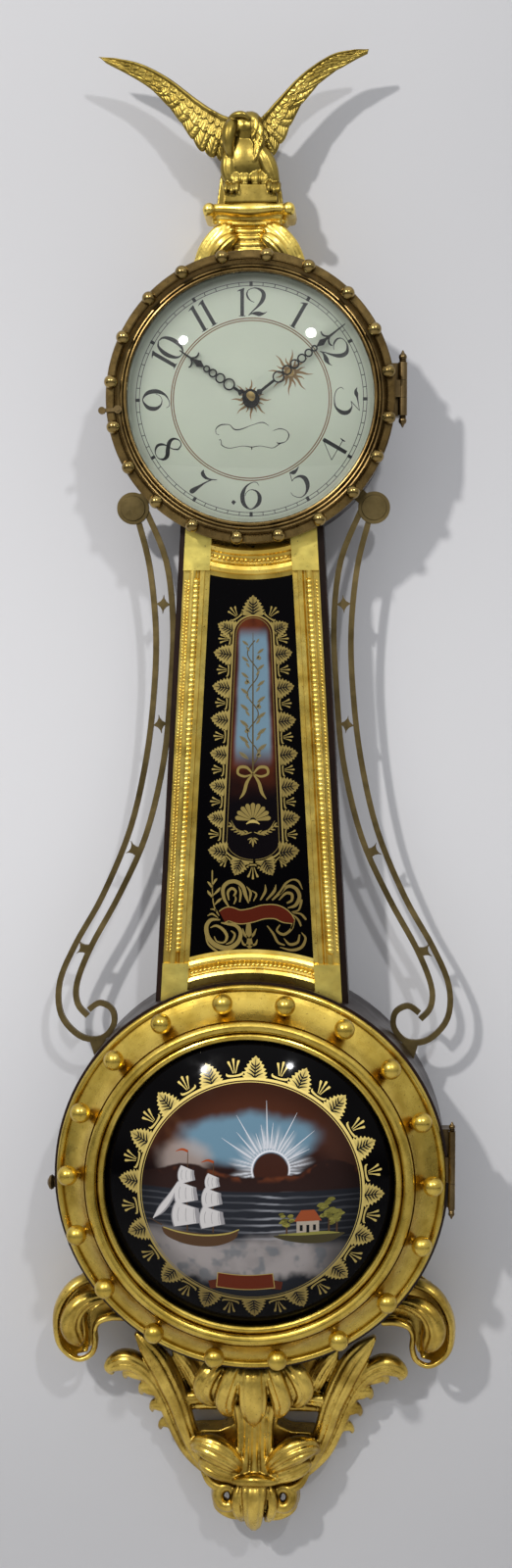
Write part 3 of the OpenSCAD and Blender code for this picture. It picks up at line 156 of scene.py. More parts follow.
def gilt(name, light, dark, bole, rough=0.3, recess=3.0, recess_shade=0.5, specks=0.66):
    """Gold leaf over red bole: patchy leaf, painted shade darkening the recesses toward the bole colour,
    small dark specks.
    """
    m = Mat(name, Metallic=1.0, IOR=1.5)
    patch = m.noise(38, 4, 0.6)
    leaf = m.ramp(patch, [(0.36, dark), (0.62, light)])
    # Painted shade: ambient occlusion, broken up a little by noise, darkens the recesses toward the bole
    # colour
    deep = m.ramp(m.maths("ADD", m.cavity(recess), m.maths("MULTIPLY", m.noise(240, 3), 0.3)),
        [(0.52, 1.0), (0.92, 0.0)])
    leaf = m.mix(m.maths("MULTIPLY", deep, recess_shade), leaf, bole)
    spots = m.ramp(m.noise(520, 2, 0.7), [(specks, 0.0), (specks + 0.05, 1.0)])
    colour = m.mix(m.maths("MULTIPLY", spots, 0.75), leaf, (0.12, 0.05, 0.01))
    soft = m.ramp(m.noise(70, 3, 0.6), [(0.3, rough - 0.07), (0.7, rough + 0.1)])
    hand = m.maths("ADD", m.noise(55, 2), m.maths("MULTIPLY", m.noise(430, 4, 0.7), 0.22))
    m.done(Base_Color=colour, Roughness=soft, Normal=m.bump(hand, 0.5, 0.55))


def metal(name, light, dark, rough, grain=300, grime_and_shade=(0.05, 0.035, 0.02), reach=3.0, recess_shade=0.6):
    """Brass or steel with painted shade in its recesses and tarnish spots, both in the grime colour, and
    fine brush lines.
    """
    m = Mat(name, Metallic=1.0)
    cloud = m.ramp(m.noise(26, 5, 0.65), [(0.34, dark), (0.66, light)])
    # Painted shade: ambient occlusion darkens the recesses toward the grime colour
    deep = m.ramp(m.maths("ADD", m.cavity(reach), m.maths("MULTIPLY", m.noise(150, 3), 0.35)),
        [(0.5, 1.0), (1.0, 0.0)])
    colour = m.mix(m.maths("MULTIPLY", deep, recess_shade), cloud, grime_and_shade)
    spots = m.ramp(m.noise(330, 3, 0.7), [(0.64, 0.0), (0.72, 1.0)])
    colour = m.mix(m.maths("MULTIPLY", spots, 0.5), colour, grime_and_shade)
    soft = m.ramp(m.noise(90, 4, 0.7), [(0.3, rough - 0.06), (0.72, rough + 0.14)])
    lines = m.noise(grain, 3, 0.6)
    m.done(Base_Color=colour, Roughness=soft, Normal=m.bump(lines, 0.25, 0.12))


def wood(name, light, dark, rough, coat):
    m = Mat(name, Coat_Weight=coat, Coat_Roughness=0.16, Specular_IOR_Level=0.2)
    lines = m.noise(34, 6, 0.62, stretch=(9, 9, 0.7), distort=0.6)
    pores = m.noise(160, 3, 0.6, stretch=(3, 3, 0.12))
    colour = m.ramp(lines, [(0.32, dark), (0.68, light)])
    colour = m.mix(m.ramp(pores, [(0.55, 0.0), (0.7, 0.5)]), colour, tuple(c * 0.35 for c in dark))
    soft = m.ramp(m.noise(45, 3), [(0.3, rough - 0.06), (0.7, rough + 0.1)])
    m.done(Base_Color=colour, Roughness=soft, Normal=m.bump(pores, 0.25, 0.15))


def paint(name, colour, rough, spread=0.06, speck=0.0, attribute=None, gloss=0.5):
    """Paint, japanning or ink, clouded a little; colour may come from the mesh's own colours."""
    m = Mat(name, Specular_IOR_Level=gloss)
    if attribute:
        base = m.node("ShaderNodeVertexColor", layer_name=attribute).outputs["Color"]
    else:
        base = m.ramp(m.noise(20, 4, 0.6), [(0.3, tuple(c * (1 - spread) for c in colour)),
            (0.7, tuple(min(1.0, c * (1 + spread)) for c in colour))])
    if speck:
        dots = m.ramp(m.noise(400, 2, 0.6), [(0.68, 0.0), (0.74, speck)])
        base = m.mix(dots, base, tuple(c * 0.3 for c in colour))
    soft = m.ramp(m.noise(60, 3), [(0.3, rough - 0.04), (0.7, rough + 0.05)])
    m.done(Base_Color=base, Roughness=soft, Normal=m.bump(m.noise(240, 2), 0.05, 0.05))


GOLD = (0.95, 0.73, 0.185)
GOLD_DEEP = (0.72, 0.49, 0.085)
BOLE = (0.34, 0.14, 0.03)
gilt("gilt", GOLD, GOLD_DEEP, BOLE, recess_shade=0.35)
gilt("gilt_ring", (0.70, 0.51, 0.105), (0.48, 0.325, 0.050), (0.20, 0.09, 0.02), 0.27, recess_shade=0.45)
gilt("gilt_block", (1.0, 0.83, 0.21), (0.90, 0.70, 0.16), (0.40, 0.2, 0.05), 0.34, recess_shade=0.2)
gilt("gilt_carved", (0.78, 0.56, 0.125), (0.40, 0.26, 0.045), (0.08, 0.04, 0.010), 0.28, 9.0, 0.85)
gilt("gilt_eagle", (0.40, 0.295, 0.070), (0.22, 0.155, 0.030), (0.08, 0.045, 0.010), 0.33, 7.0, 0.65)
wood("mahogany", (0.022, 0.008, 0.005), (0.008, 0.003, 0.002), 0.35, 0.15)
wood("plain_wood", (0.32, 0.20, 0.11), (0.20, 0.115, 0.06), 0.6, 0.0)
metal("bezel_brass", (0.255, 0.172, 0.062), (0.115, 0.072, 0.025), 0.24, reach=5.0, recess_shade=0.8)
metal("ball_brass", (0.38, 0.27, 0.095), (0.17, 0.115, 0.04), 0.15, recess_shade=0.7)
metal("hinge_brass", (0.22, 0.155, 0.07), (0.10, 0.065, 0.028), 0.3)
metal("arm_brass", (0.27, 0.20, 0.085), (0.13, 0.095, 0.038), 0.34)
metal("brass", (0.76, 0.55, 0.23), (0.60, 0.40, 0.14), 0.3, recess_shade=0.4)
metal("steel", (0.55, 0.55, 0.57), (0.42, 0.42, 0.44), 0.26, grime_and_shade=(0.08, 0.06, 0.05))
metal("black_steel", (0.035, 0.033, 0.035), (0.018, 0.017, 0.018), 0.32)
metal("cast_iron", (0.16, 0.155, 0.15), (0.09, 0.088, 0.086), 0.6, 500)
paint("dial_paint", (0.70, 0.745, 0.615), 0.42, 0.03)
paint("tablet_black", (0.0012, 0.001, 0.0014), 0.08, gloss=0.07)
paint("art_matt", (0, 0, 0), 0.45, attribute="tint")
paint("art_gloss", (0, 0, 0), 0.12, gloss=0.07, attribute="tint")
paint("cord", (0.50, 0.42, 0.26), 0.8, speck=0.6)


def glass():
    m = Mat("clear_glass", IOR=1.45, Transmission_Weight=1.0, Base_Color=(0.97, 0.99, 0.98, 1))
    m.done(Roughness=m.ramp(m.noise(60, 4), [(0.4, 0.015), (0.8, 0.05)]))


glass()

LOOKS = {
    "mahogany": "backboard head_case throat_sides base_case",
    "gilt": "throat_stiles throat_rail_top throat_rail_bottom eagle_plinth",
    "gilt_block": "throat_corner_blocks",
    "gilt_ring": "base_door_frame base_door_balls",
    "gilt_carved": "eagle_body eagle_wings bracket_body bracket_leaves bracket_scrolls bracket_drop",
    "brass": "hanger_plate base_door_keeper dial_feet hand_nut"
             " back_plate front_plate plate_pillars great_wheel winding_drum centre_wheel third_wheel"
             " escape_wheel suspension_bridge cannon_pinion minute_wheel hour_wheel weight_pulley"
             " pendulum_rod pendulum_bob rating_nut",
    "bezel_brass": "bezel_ring",
    "hinge_brass": "bezel_hinge_door_leaf base_hinge_door_leaf hinge_case_leaves hinge_pins"
                   " base_lock_knob bezel_catch",
    "ball_brass": "bezel_balls",
    "arm_brass": "side_arm_left side_arm_right",
    "steel": "verge",
    "black_steel": "hour_hand minute_hand",
    "dial_paint": "dial",
    "tablet_black": "throat_glass base_door_glass",
    "clear_glass": "bezel_glass",
    "cast_iron": "weight",
    "cord": "weight_cord cord_lead",
    "plain_wood": "weight_baffle",
}
for look, names in LOOKS.items():
    for name in names.split():
        nodes[name].data.materials.clear()
        nodes[name].data.materials.append(MATS[look])


# New pieces
def linked(name, data):
    """A new object of this data, in the scene."""
    o = bpy.data.objects.new(name, data)
    bpy.context.scene.collection.objects.link(o)
    return o


def new_mesh(name, points, faces, outward=True, merge=0.0, to_front=False):
    """A new mesh object from points in metres, its faces turned outward or all to the front."""
    mesh = bpy.data.meshes.new(name)
    mesh.from_pydata(points, [], faces)
    if outward:
        m = bmesh.new()
        m.from_mesh(mesh)
        if merge:
            bmesh.ops.remove_doubles(m, verts=m.verts, dist=merge)
        bmesh.ops.recalc_face_normals(m, faces=m.faces)
        for f in m.faces:
            if to_front and f.normal.y > 0:
                f.normal_flip()
        m.to_mesh(mesh)
        m.free()
    return linked(name, mesh)


def in_frame(points, centre):
    """Points in metres in the shared frame, from x, height over the centre and distance from the wall."""
    return [Vector((x, -d, centre + y)) * MM for x, y, d in points]


def place(o, material, slot, body="case", replaces=()):
    """Material, body and shading of a new piece; the slot is not used."""
    o.data.materials.clear()
    o.data.materials.append(MATS[material])
    o.data.shade_smooth()
    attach(o, body)
    if replaces:
        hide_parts(*replaces)
    return o


def tube(rings, n, start=0, flip=False):
    """The faces between rings of n points each."""
    faces = []
    for i in range(rings - 1):
        for k in range(n):
            a, b = start + i * n + k, start + i * n + (k + 1) % n
            faces.append((a, a + n, b + n, b) if flip else (a, b, b + n, a + n))
    return faces


# Carved and gilded wood
def curve(rows, steps=5):
    """A smooth run (Catmull-Rom) through rows of numbers."""
    p = np.array(rows, float)
    p = np.vstack([2 * p[0] - p[1], p, 2 * p[-1] - p[-2]])
    t = (np.arange(steps) / steps)[:, None]
    runs = [0.5 * (2 * p[i] + (p[i + 1] - p[i - 1]) * t
        + (2 * p[i - 1] - 5 * p[i] + 4 * p[i + 1] - p[i + 2]) * t**2
        + (3 * p[i] - p[i - 1] - 3 * p[i + 1] + p[i + 2]) * t**3) for i in range(1, len(p) - 2)]
    return np.vstack(runs + [p[-2:-1]])


def unit(v):
    return v / max(np.linalg.norm(v), 1e-9)


class Carving:
    """Closed forms that fuse() joins into one carved skin. A point is x, height over the centre, distance
    from the wall."""

    def __init__(self, centre, mid=0):
        self.centre, self.mid = centre, mid
        self.points, self.faces = [], []

    def add(self, points, faces):
        start = len(self.points)
        self.points += points
        self.faces += [[start + i for i in f] for f in faces]

    def leaf(self, rows, grooves=(), side=0, under=3.0, steps=5, across=13, lip=0.6):
        """A carved strip. Rows are x, y, d, half width and crown; a negative crown is a hollow. Grooves
        are place across (-1 to 1), depth and width. With a side of 1 or -1, x runs to that side of mid."""
        if side:
            rows = [(self.mid + side * x, *rest) for x, *rest in rows]
        q = curve(rows, steps)
        path, n = q[:, :3], len(q)
        tangent = np.gradient(path, axis=0)
        up = np.array([0, 0, 1.0])
        if abs(unit(tangent[0])[2]) > 0.9:
            up = np.array([0, 1.0, 0])
        s = np.linspace(-1, 1, across)
        dome = np.sqrt(np.maximum(0, 1 - s * s))
        points, count = [], 2 * across - 2
        for i in range(n):
            t = unit(tangent[i])
            up = unit(up - t * up.dot(t))
            out = np.cross(t, up)
            w, h = max(q[i, 3], 0.15), q[i, 4]
            top = h * (dome if h > 0 else dome**2)
            fade = min(1.0, 5 * i / n, 5 * (n - 1 - i) / n)
            for place, depth, width in grooves:
                top = top - fade * depth * np.exp(-((s - place) / width)**2)
            low = np.minimum(0, top) - under * np.sqrt(dome)
            ring = [path[i] + out * w * s[k] + up * top[k] for k in range(across)]
            ring += [path[i] + out * w * s[k] + up * low[k] for k in range(across - 2, 0, -1)]
            points += ring
        faces = tube(n, count)
        for ring, step in ((0, -1), (n - 1, 1)):
            middle = np.mean(points[ring * count:(ring + 1) * count], axis=0)
            points.append(middle + unit(tangent[ring]) * step * lip * q[ring, 3])
            tip = len(points) - 1
            edge = [(ring * count + k, ring * count + (k + 1) % count) for k in range(count)]
            faces += [[b, a, tip] if step < 0 else [a, b, tip] for a, b in edge]
        self.add(points, faces)

    def blob(self, x, y, d, rx, ry, rd, turn=0.0):
        """An egg-shaped mass, turned in the plane of the wall."""
        n = 14
        c, s = math.cos(math.radians(turn)), math.sin(math.radians(turn))
        rings = n // 2
        points = []
        for i in range(1, rings):
            a = math.pi * i / rings
            for k in range(n):
                b = 2 * math.pi * k / n
                px, py = rx * math.sin(a) * math.cos(b), ry * math.sin(a) * math.sin(b)
                pd = rd * math.cos(a)
                points.append((x + px * c - py * s, y + px * s + py * c, d + pd))
        points += [(x, y, d + rd), (x, y, d - rd)]
        top, low = len(points) - 2, len(points) - 1
        faces = tube(rings - 1, n, flip=True)
        faces += [[top, k, (k + 1) % n] for k in range(n)]
        faces += [[low, (rings - 2) * n + (k + 1) % n, (rings - 2) * n + k] for k in range(n)]
        self.add(points, faces)

    def slab(self, outline, near, far):
        """A board of the given outline between two distances from the wall."""
        n = len(outline)
        area = sum(outline[i][0] * outline[(i + 1) % n][1] - outline[(i + 1) % n][0] * outline[i][1]
            for i in range(n))
        ring = list(outline) if area > 0 else list(reversed(outline))
        points = [(x, y, far) for x, y in ring] + [(x, y, near) for x, y in ring]
        faces = [list(range(n)), list(range(2 * n - 1, n - 1, -1))]
        faces += [[k, n + k, n + (k + 1) % n, (k + 1) % n] for k in range(n)]
        self.add(points, faces)

    def fuse(self, name, material, voxel, soften, replaces=()):
        o = new_mesh(name, in_frame(self.points, self.centre), self.faces, outward=False)
        remesh = o.modifiers.new("skin", "REMESH")
        remesh.mode = "VOXEL"
        remesh.voxel_size = voxel * MM
        smooth = o.modifiers.new("soften", "SMOOTH")
        smooth.factor, smooth.iterations = 0.5, soften
        settle(o)
        return place(o, material, "gilt", replaces=replaces)


def settle(o):
    """Turns an object's modifiers into plain geometry."""
    graph = bpy.context.evaluated_depsgraph_get()
    graph.update()
    mesh = bpy.data.meshes.new_from_object(o.evaluated_get(graph), preserve_all_data_layers=True,
        depsgraph=graph)
    o.modifiers.clear()
    o.data = mesh


def carved_sheet(name, front, back, centre, material, slot, body="case", replaces=()):
    """A closed mesh from two grids of points of one size, the front one and the back one."""
    rows, cols = front.shape[:2]
    points = np.concatenate([front.reshape(-1, 3), back.reshape(-1, 3)])
    size = rows * cols
    faces = []
    for i in range(rows - 1):
        for k in range(cols - 1):
            a, b, c, d = i * cols + k, (i + 1) * cols + k, (i + 1) * cols + k + 1, i * cols + k + 1
            faces += [(a, b, c, d), (size + d, size + c, size + b, size + a)]
    rim = [i * cols for i in range(rows)] + [(rows - 1) * cols + k for k in range(1, cols)]
    rim += [i * cols + cols - 1 for i in range(rows - 2, -1, -1)] + list(range(cols - 2, 0, -1))
    faces += [(a, size + a, size + b, b) for a, b in zip(rim, rim[1:] + rim[:1])]
    o = new_mesh(name, in_frame(points, centre), faces)
    return place(o, material, slot, body, replaces)


# Rows of wing feathers: where a row starts and ends across the wing, how many, and how high it lies
FEATHERS = ((0.10, 0.34, 21, 1.9), (0.28, 0.60, 18, 1.0), (0.50, 1.0, 15, 0.0))


def wing_relief(u, v):
    """Height of the feathers and how far the row reaches, at u along and v across the wing."""
    height, inside = np.zeros_like(u), np.zeros(u.shape, bool)
    reach = np.ones_like(u)
    for start, end, count, lift in FEATHERS:
        lean = 0.05 + 0.42 * u**1.5
        p = (u - lean * v) * count + 0.37 * end
        s = 2 * (p - np.floor(p)) - 1
        round_end = end + 0.10 * (np.sqrt(np.maximum(0, 1 - s * s)) - 1)
        if end == 1.0:
            reach = round_end
        along = np.clip((v - start) / (end - start), 0, 1)
        h = lift + 1.3 * np.sqrt(np.maximum(0, 1 - 0.92 * s * s)) + 0.5 * along
        h -= 0.45 * np.exp(-(s / 0.13)**2)
        h += 0.10 * np.sin(60 * v + 9 * np.abs(s)) * (np.abs(s) > 0.2)
        new = (v < round_end) & ~inside
        height = np.where(new, h, height)
        inside |= new
    return height, reach


def wing(name, bar, trail, replaces=()):
    """A wing between its upper and its lower edge, from the shoulder to the tip."""
    bar, trail = curve(bar, 40), curve(trail, 40)
    n, m = len(bar), 64
    u = np.repeat(np.linspace(0, 1, n)[:, None], m, 1)
    v = np.repeat(np.linspace(0, 1, m)[None, :], n, 0)
    height, reach = wing_relief(u, v)
    size = 1 - 0.55 * u
    roll = np.sqrt(np.maximum(0, 1 - ((v - 0.07) / 0.09)**2))
    knuckle = 1 + 0.35 * np.exp(-((u - 0.2) / 0.025)**2)
    height = np.maximum(height * size, (1.2 + 4.6 * roll * knuckle) * size * (v < 0.16))
    height *= np.minimum(1, 8 * (1 - u)) * np.minimum(1, (1 - v) * 14)**0.5 * np.minimum(1, v * 20)**0.5
    flat = bar[:, None, :] * (1 - (v * reach)[..., None]) + trail[:, None, :] * (v * reach)[..., None]
    deep = 44 - 4 * u + 2.0 * np.sin(math.pi * v)
    front = np.concatenate([flat, (deep + height)[..., None]], 2)
    back = np.concatenate([flat, (deep - 2.2 * size * np.minimum(1, (1 - v) * 14)**0.5)[..., None]], 2)
    return carved_sheet(name, front, back, HEAD, "gilt_eagle", "gilt", replaces=replaces)


# Edges of the two wings, upper then lower, from the shoulder to the tip
wing("eagle_wing_left", [(-10, 216), (-26, 222), (-43, 233), (-65, 249.5), (-86, 260.5), (-104, 265),
    (-120, 267)], [(-10, 178), (-26, 186), (-41, 194), (-54, 212), (-66, 228), (-84, 245), (-114, 262)],
    ["eagle_wings"])
wing("eagle_wing_right", [(-2, 214), (7, 219), (18, 231), (38, 251), (60, 265), (76, 268.6), (89, 269.6)],
    [(-2, 178), (12, 185), (24, 201), (36, 225), (53, 245), (70, 256.5), (88, 266)])


def eagle():
    """Body, head bowed to its right, thighs, claws and the block it stands on."""
    c = Carving(HEAD)
    c.leaf([(-7, 218, 38, 10, 8), (-7, 209, 42, 16, 11), (-7, 199, 44, 18, 12), (-6, 188, 45, 18.5, 13.5),
        (-5, 176, 44, 19.5, 13), (-4, 165, 42, 20, 10), (-4, 156, 40, 20, 8)], under=16, across=17)
    c.blob(-6, 209, 50, 11.5, 12, 10, 12)
    c.blob(-2, 213, 50, 9.5, 8.5, 9)
    c.leaf([(-20, 211, 54, 1.5, 1.5), (-14, 215.5, 59, 2.6, 2.4), (-7, 216, 61, 2.8, 2.4),
        (-2, 213, 60, 1.4, 1)], under=1.5)
    c.blob(-13.2, 209.5, 58.6, 2.3, 2.0, 1.8)
    c.leaf([(-14, 213, 56, 4, 3), (-16.5, 207, 60, 5.4, 4.6), (-18, 199, 61, 5.2, 4.4),
        (-17.5, 191, 59, 3.6, 3.4), (-15.6, 184, 55, 1.2, 1.2)], [(0.75, 0.7, 0.16), (-0.75, 0.7, 0.16)],
        under=3)
    for x, y, wide in ((3, 213, 3.4), (6.5, 208, 3.4), (7.0, 202, 3.2), (4.5, 196, 3.0)):
        c.leaf([(x - 5, y + 4, 55, 1.6, 1.4), (x - 1, y, 56, wide, 2.4), (x - 1, y - 8, 56.5, wide, 2.4),
            (x - 3.5, y - 14, 57, 0.9, 0.8)], [(0, 0.8, 0.2)], under=2)
    for x, y in ((-22, 206), (-23, 199), (-22.5, 192), (-20, 186)):
        c.leaf([(x + 1, y + 5, 46, 2, 1.5), (x, y, 47, 3, 2.2), (x + 1.5, y - 7, 48, 1, 0.8)],
            [(0, 0.6, 0.2)], under=3)
    c.leaf([(-17, 193, 51, 3.5, 3), (-18, 184, 53, 6.2, 5), (-18, 175, 53, 6.4, 5.2),
        (-16.5, 167, 53, 4.4, 4), (-16, 163, 53, 2.8, 3)], [(0.2, 0.8, 0.2), (-0.5, 0.6, 0.2)], under=7)
    c.leaf([(3, 195, 52, 3, 3), (9, 187, 54, 6, 5), (13, 178, 54, 6.6, 5.2), (16.5, 169, 54, 4.6, 4),
        (19, 163, 54, 2.6, 3)], [(0.1, 0.8, 0.2), (-0.55, 0.6, 0.2)], under=7)
    for x in (-13, -6, 2, 9):
        c.leaf([(x, 178, 52, 3.4, 2.6), (x, 170, 55, 4.4, 3), (x + 0.6, 164.5, 56, 2.4, 1.6)],
            [(0, 0.7, 0.22)], under=3)
    for x, y in ((-20, 162), (-15.5, 161), (-11.5, 162), (13, 162.5), (17, 161), (20.5, 161.5)):
        c.leaf([(x, y + 4, 56, 1.8, 1.6), (x, y + 1.5, 60, 2.0, 2), (x, y - 2.5, 62, 1.7, 1.6),
            (x, y - 5, 61, 0.5, 0.5)], under=2, across=9)
    c.leaf([(-5, 172, 30, 12, 4), (-5, 163, 26, 16, 4), (-4, 154, 23, 18, 3)],
        [(x, 0.9, 0.08) for x in (-0.6, -0.2, 0.2, 0.6)], under=4, across=25)
    c.slab([(-21.5, 151), (-20.5, 164), (-14, 165), (12, 164.5), (18.6, 163.6), (19.5, 151)], 24, 58.5)
    c.slab([(-28, 151.2), (-26.5, 163), (-25, 174), (-20, 182), (14, 182), (20, 174), (22, 163),
        (23.5, 151.2)], 24, 46)
    c.fuse("eagle_carved", "gilt_eagle", 0.6, 2, ["eagle_body"])


def eagle_plinth():
    """A bolster with round scroll ends over a fluted waist, with two nested leaves at each side."""
    mid = -2.5
    c = Carving(HEAD, mid)
    c.slab([(mid - 25, 139.5), (mid - 26, 146), (mid - 29, 150.4), (mid + 29, 150.4), (mid + 26, 146),
        (mid + 25, 139.5)], 16, 52)
    c.leaf([(mid - 31, 146.4, 54, 3.9, 4), (mid - 22, 147.2, 55, 4.0, 4.2), (mid - 10, 146.0, 57, 5.0, 5),
        (mid, 145.4, 58, 5.4, 5.2), (mid + 10, 146.0, 57, 5.0, 5), (mid + 22, 147.2, 55, 4.0, 4.2),
        (mid + 31, 146.4, 54, 3.9, 4)], under=5)
    for side in (-1, 1):
        x = mid + side * 30.5
        c.leaf([(x, 146.2, 18, 5.2, 5), (x, 146.2, 36, 5.2, 5), (x, 146.2, 57.5, 5.0, 5)], under=5,
            lip=0.25)
        c.blob(x, 146.2, 57, 5.0, 5.0, 4.2)
        c.leaf([(x - side * 3, 141, 20, 2.4, 2.2), (x - side * 4, 139, 48, 2.4, 2.2)], under=2)
    waist = [(24.5, 144), (24, 138), (24.5, 132), (27, 126), (31, 120), (36.5, 113), (42, 106), (44, 96)]
    outline = [(mid - x, y) for x, y in waist] + [(mid + x * 0.97, y) for x, y in reversed(waist)]
    c.slab(outline, 14, 49)
    for y, lift, thick in ((141, 51.5, 2.2), (137, 50.5, 1.8), (131.5, 49.6, 2.6), (126.5, 49.8, 2.6),
            (121.5, 50.0, 2.6), (116.5, 50.2, 2.6)):
        wide = 12 if y < 135 else 22
        c.leaf([(mid - wide, y, lift - 1, thick * 0.8, 1.2), (mid, y - 0.8, lift, thick, 1.5),
            (mid + wide, y, lift - 1, thick * 0.8, 1.2)], under=3)
    for side in (-1, 1):
        c.leaf([(23.5, 142, 47, 1.6, 2.4), (22.6, 134, 49, 1.9, 2.6), (25, 127, 50, 2.0, 2.6),
            (31, 118.5, 50, 2.2, 2.6), (38, 110, 49, 2.4, 2.4), (42, 104, 47, 2.6, 2)], side=side, under=4)
        for k, (x, y) in enumerate(((11.5, 132.4), (14.0, 134.2), (17.4, 134.8), (20.4, 133.2))):
            c.leaf([(x, y, 51, 1.6, 1.8), (x + 2.2, y - 1.2 + 0.5 * k, 54 - 0.4 * k, 2.3, 2.6),
                (21.5 + 2.2 * k, 125.5 + 1.4 * k, 54.5 - 0.8 * k, 2.4, 2.8),
                (28.5 + 2.6 * k, 116.5 + 1.0 * k, 53 - k, 2.4, 2.6), (34 + 2.6 * k, 106, 50 - k, 2.2, 2)],
                side=side, under=3, across=9)
        c.leaf([(9.5, 126.4, 52, 2.0, 2), (13.5, 124.4, 56, 4.6, 3.4), (19.5, 119.5, 57, 5.6, 3.6),
            (25.5, 112.5, 55, 5.0, 3), (30, 105, 51, 3.6, 2)],
            [(0, 1.1, 0.16), (0.55, 0.6, 0.14), (-0.55, 0.6, 0.14)], side=side, under=3, across=17)
    c.fuse("eagle_plinth_carved", "gilt", 0.6, 2, ["eagle_plinth"])


def bracket():
    """The bracket under the base: stems and leaves at the sides, a middle leaf turned over, a drop."""
    c = Carving(BASE - 157, 1)
    # Ground behind the middle leaf, and the board below it
    c.slab([(-60, -44), (-56, -12), (-34, 4), (34, 4), (58, -12), (62, -44), (52, -50), (22, -50),
        (19, -66), (30, -71), (54, -72), (49, -88), (40, -104), (31, -112), (24, -112), (22, -128),
        (12, -142), (0, -147), (-10, -142), (-20, -128), (-22, -112), (-29, -112), (-38, -104), (-47, -88),
        (-52, -72), (-28, -71), (-17, -66), (-20, -50), (-50, -50)], 2, 24)
    # Middle leaf, turned over at the top
    c.leaf([(0, -4, 42, 9, 3), (0, -2, 55, 10, 6), (0.5, -10, 65, 11, 6.5), (1, -24, 66, 11.5, 7),
        (1.2, -38, 63, 10.5, 7), (1.2, -48, 58, 6.5, 5), (1.2, -55.5, 53, 1.2, 1.2)],
        [(-0.72, 1.2, 0.1), (0.72, 1.2, 0.1), (0, 0.8, 0.08)], under=5, across=21)
    for side in (-1, 1):
        c.leaf([(9, -2, 52, 5, 4), (14.5, -6, 62, 7.4, 6), (19.5, -18, 65, 8.6, 7),
            (22.5, -31, 61, 8.6, 6.6), (21, -41, 56, 6.2, 5), (19, -48, 51, 1.6, 1.6)],
            [(0.0, 1.9, 0.14), (0.62, 0.9, 0.1)], side=side, under=5, across=19)
        c.leaf([(19, -1, 47, 6, 4), (28, -4, 57, 9, 7), (35.5, -12, 61, 10.4, 8.4), (38.5, -23, 58, 10, 8),
            (34.5, -33, 53, 7.4, 6), (27.5, -38.5, 48, 2.6, 2.4)],
            [(-0.36, 1.9, 0.12), (0.26, 1.9, 0.12), (0.74, 0.9, 0.1)], side=side, under=6, across=21)
        # Leaves on the ground beside it
        c.leaf([(46, -40, 24, 6, 3), (50, -28, 28, 7, 4), (56, -15, 31, 7, 4), (63, -5, 33, 5, 3),
            (67, 1, 33, 1.4, 1)], [(0, 1.4, 0.15), (-0.5, 0.9, 0.1), (0.5, 0.9, 0.1)], side=side, under=6,
            across=17)
        c.leaf([(36, -48, 24, 3, 2), (44, -42, 30, 5.4, 4), (53, -42, 31, 5.8, 4), (60, -46, 28, 2, 1.4)],
            [(0, 1.3, 0.15)], side=side, under=6)
        c.leaf([(26, -51, 24, 3, 2), (36, -49, 27, 3.6, 3), (47, -49, 28, 3.4, 2.6), (54, -51, 27, 1.4, 1)],
            side=side, under=6)
        # Long stems from the drop to the leaf tips
        c.leaf([(24, -114, 16, 5, 4), (37, -103, 22, 6.6, 6), (48, -86, 27, 7.4, 6.6),
            (56, -66, 30, 8.0, 6.8), (62, -46, 32, 8.8, 6.6), (70, -26, 34, 9.8, 6.6), (79, -8, 36, 9.8, 6),
            (88, 4, 37, 7.4, 4.6), (97, 13.5, 36, 1.8, 1.4)],
            [(0.18, 2.2, 0.1), (-0.5, 1.5, 0.1), (0.68, 0.9, 0.08)], side=side, under=12, across=25)
        c.leaf([(31, -117, 12, 4, 3), (44, -104, 17, 5.4, 5), (57, -87, 21, 6.4, 5.8),
            (67, -65, 24, 6.6, 6), (74, -47, 26, 6.6, 5.6), (81, -32, 28, 6.8, 6), (91, -18, 31, 8.0, 7),
            (103, -11, 32, 8.6, 7.4), (113, -12.5, 31, 8.0, 6.6), (119.5, -18.5, 28, 5.2, 4.8),
            (118, -25, 25, 1.8, 1.6)], [(0.0, 2.0, 0.12), (0.5, 1.2, 0.1)], side=side, under=10, across=21)
        for x, y, d, wide, lean in ((99, -21, 29, 6.0, 1.0), (86, -35, 27, 6.2, 0.7),
                (77.5, -50, 25, 5.4, 0.5), (71, -66, 22, 4.4, 0.3)):
            c.leaf([(x - 11, y - 7, d - 3, wide * 0.6, 3), (x - 3, y - 1, d + 1, wide * 0.95, wide * 0.8),
                (x + 4, y + lean, d + 1, wide, wide * 0.8), (x + 8, y - 4, d - 2, wide * 0.5, 2),
                (x + 8, y - 8, d - 5, 1.2, 1)], [(0.1, 1.3, 0.15)], side=side, under=9)
        # Rounded lobes beside the column, the lowest round a slot
        c.leaf([(9, -100, 38, 4, 3), (16, -91, 44, 7.4, 6), (25, -82.5, 47, 10.4, 8.4),
            (34.5, -77, 47, 11, 8.8), (43, -76, 43, 8.8, 7.4), (48.5, -80, 36, 5, 4.6),
            (49.5, -86, 30, 2, 2)], [(-0.46, 2.3, 0.11), (0.12, 2.3, 0.11), (0.66, 1.0, 0.09)], side=side,
            under=9, across=25)
        c.leaf([(12, -108, 36, 3, 3), (20, -102, 41, 6, 5.4), (30, -97, 43, 7.4, 6.4),
            (39, -93.5, 40, 6.8, 5.6), (44.5, -93, 34, 3.2, 2.6)], [(0.1, 1.7, 0.14)], side=side, under=9,
            across=17)
        c.leaf([(18, -111, 34, 3.6, 3.6), (27, -114, 36, 4.2, 4), (36, -110.5, 34, 4.2, 4),
            (42, -102, 31, 3.4, 3.4)], side=side, under=9)
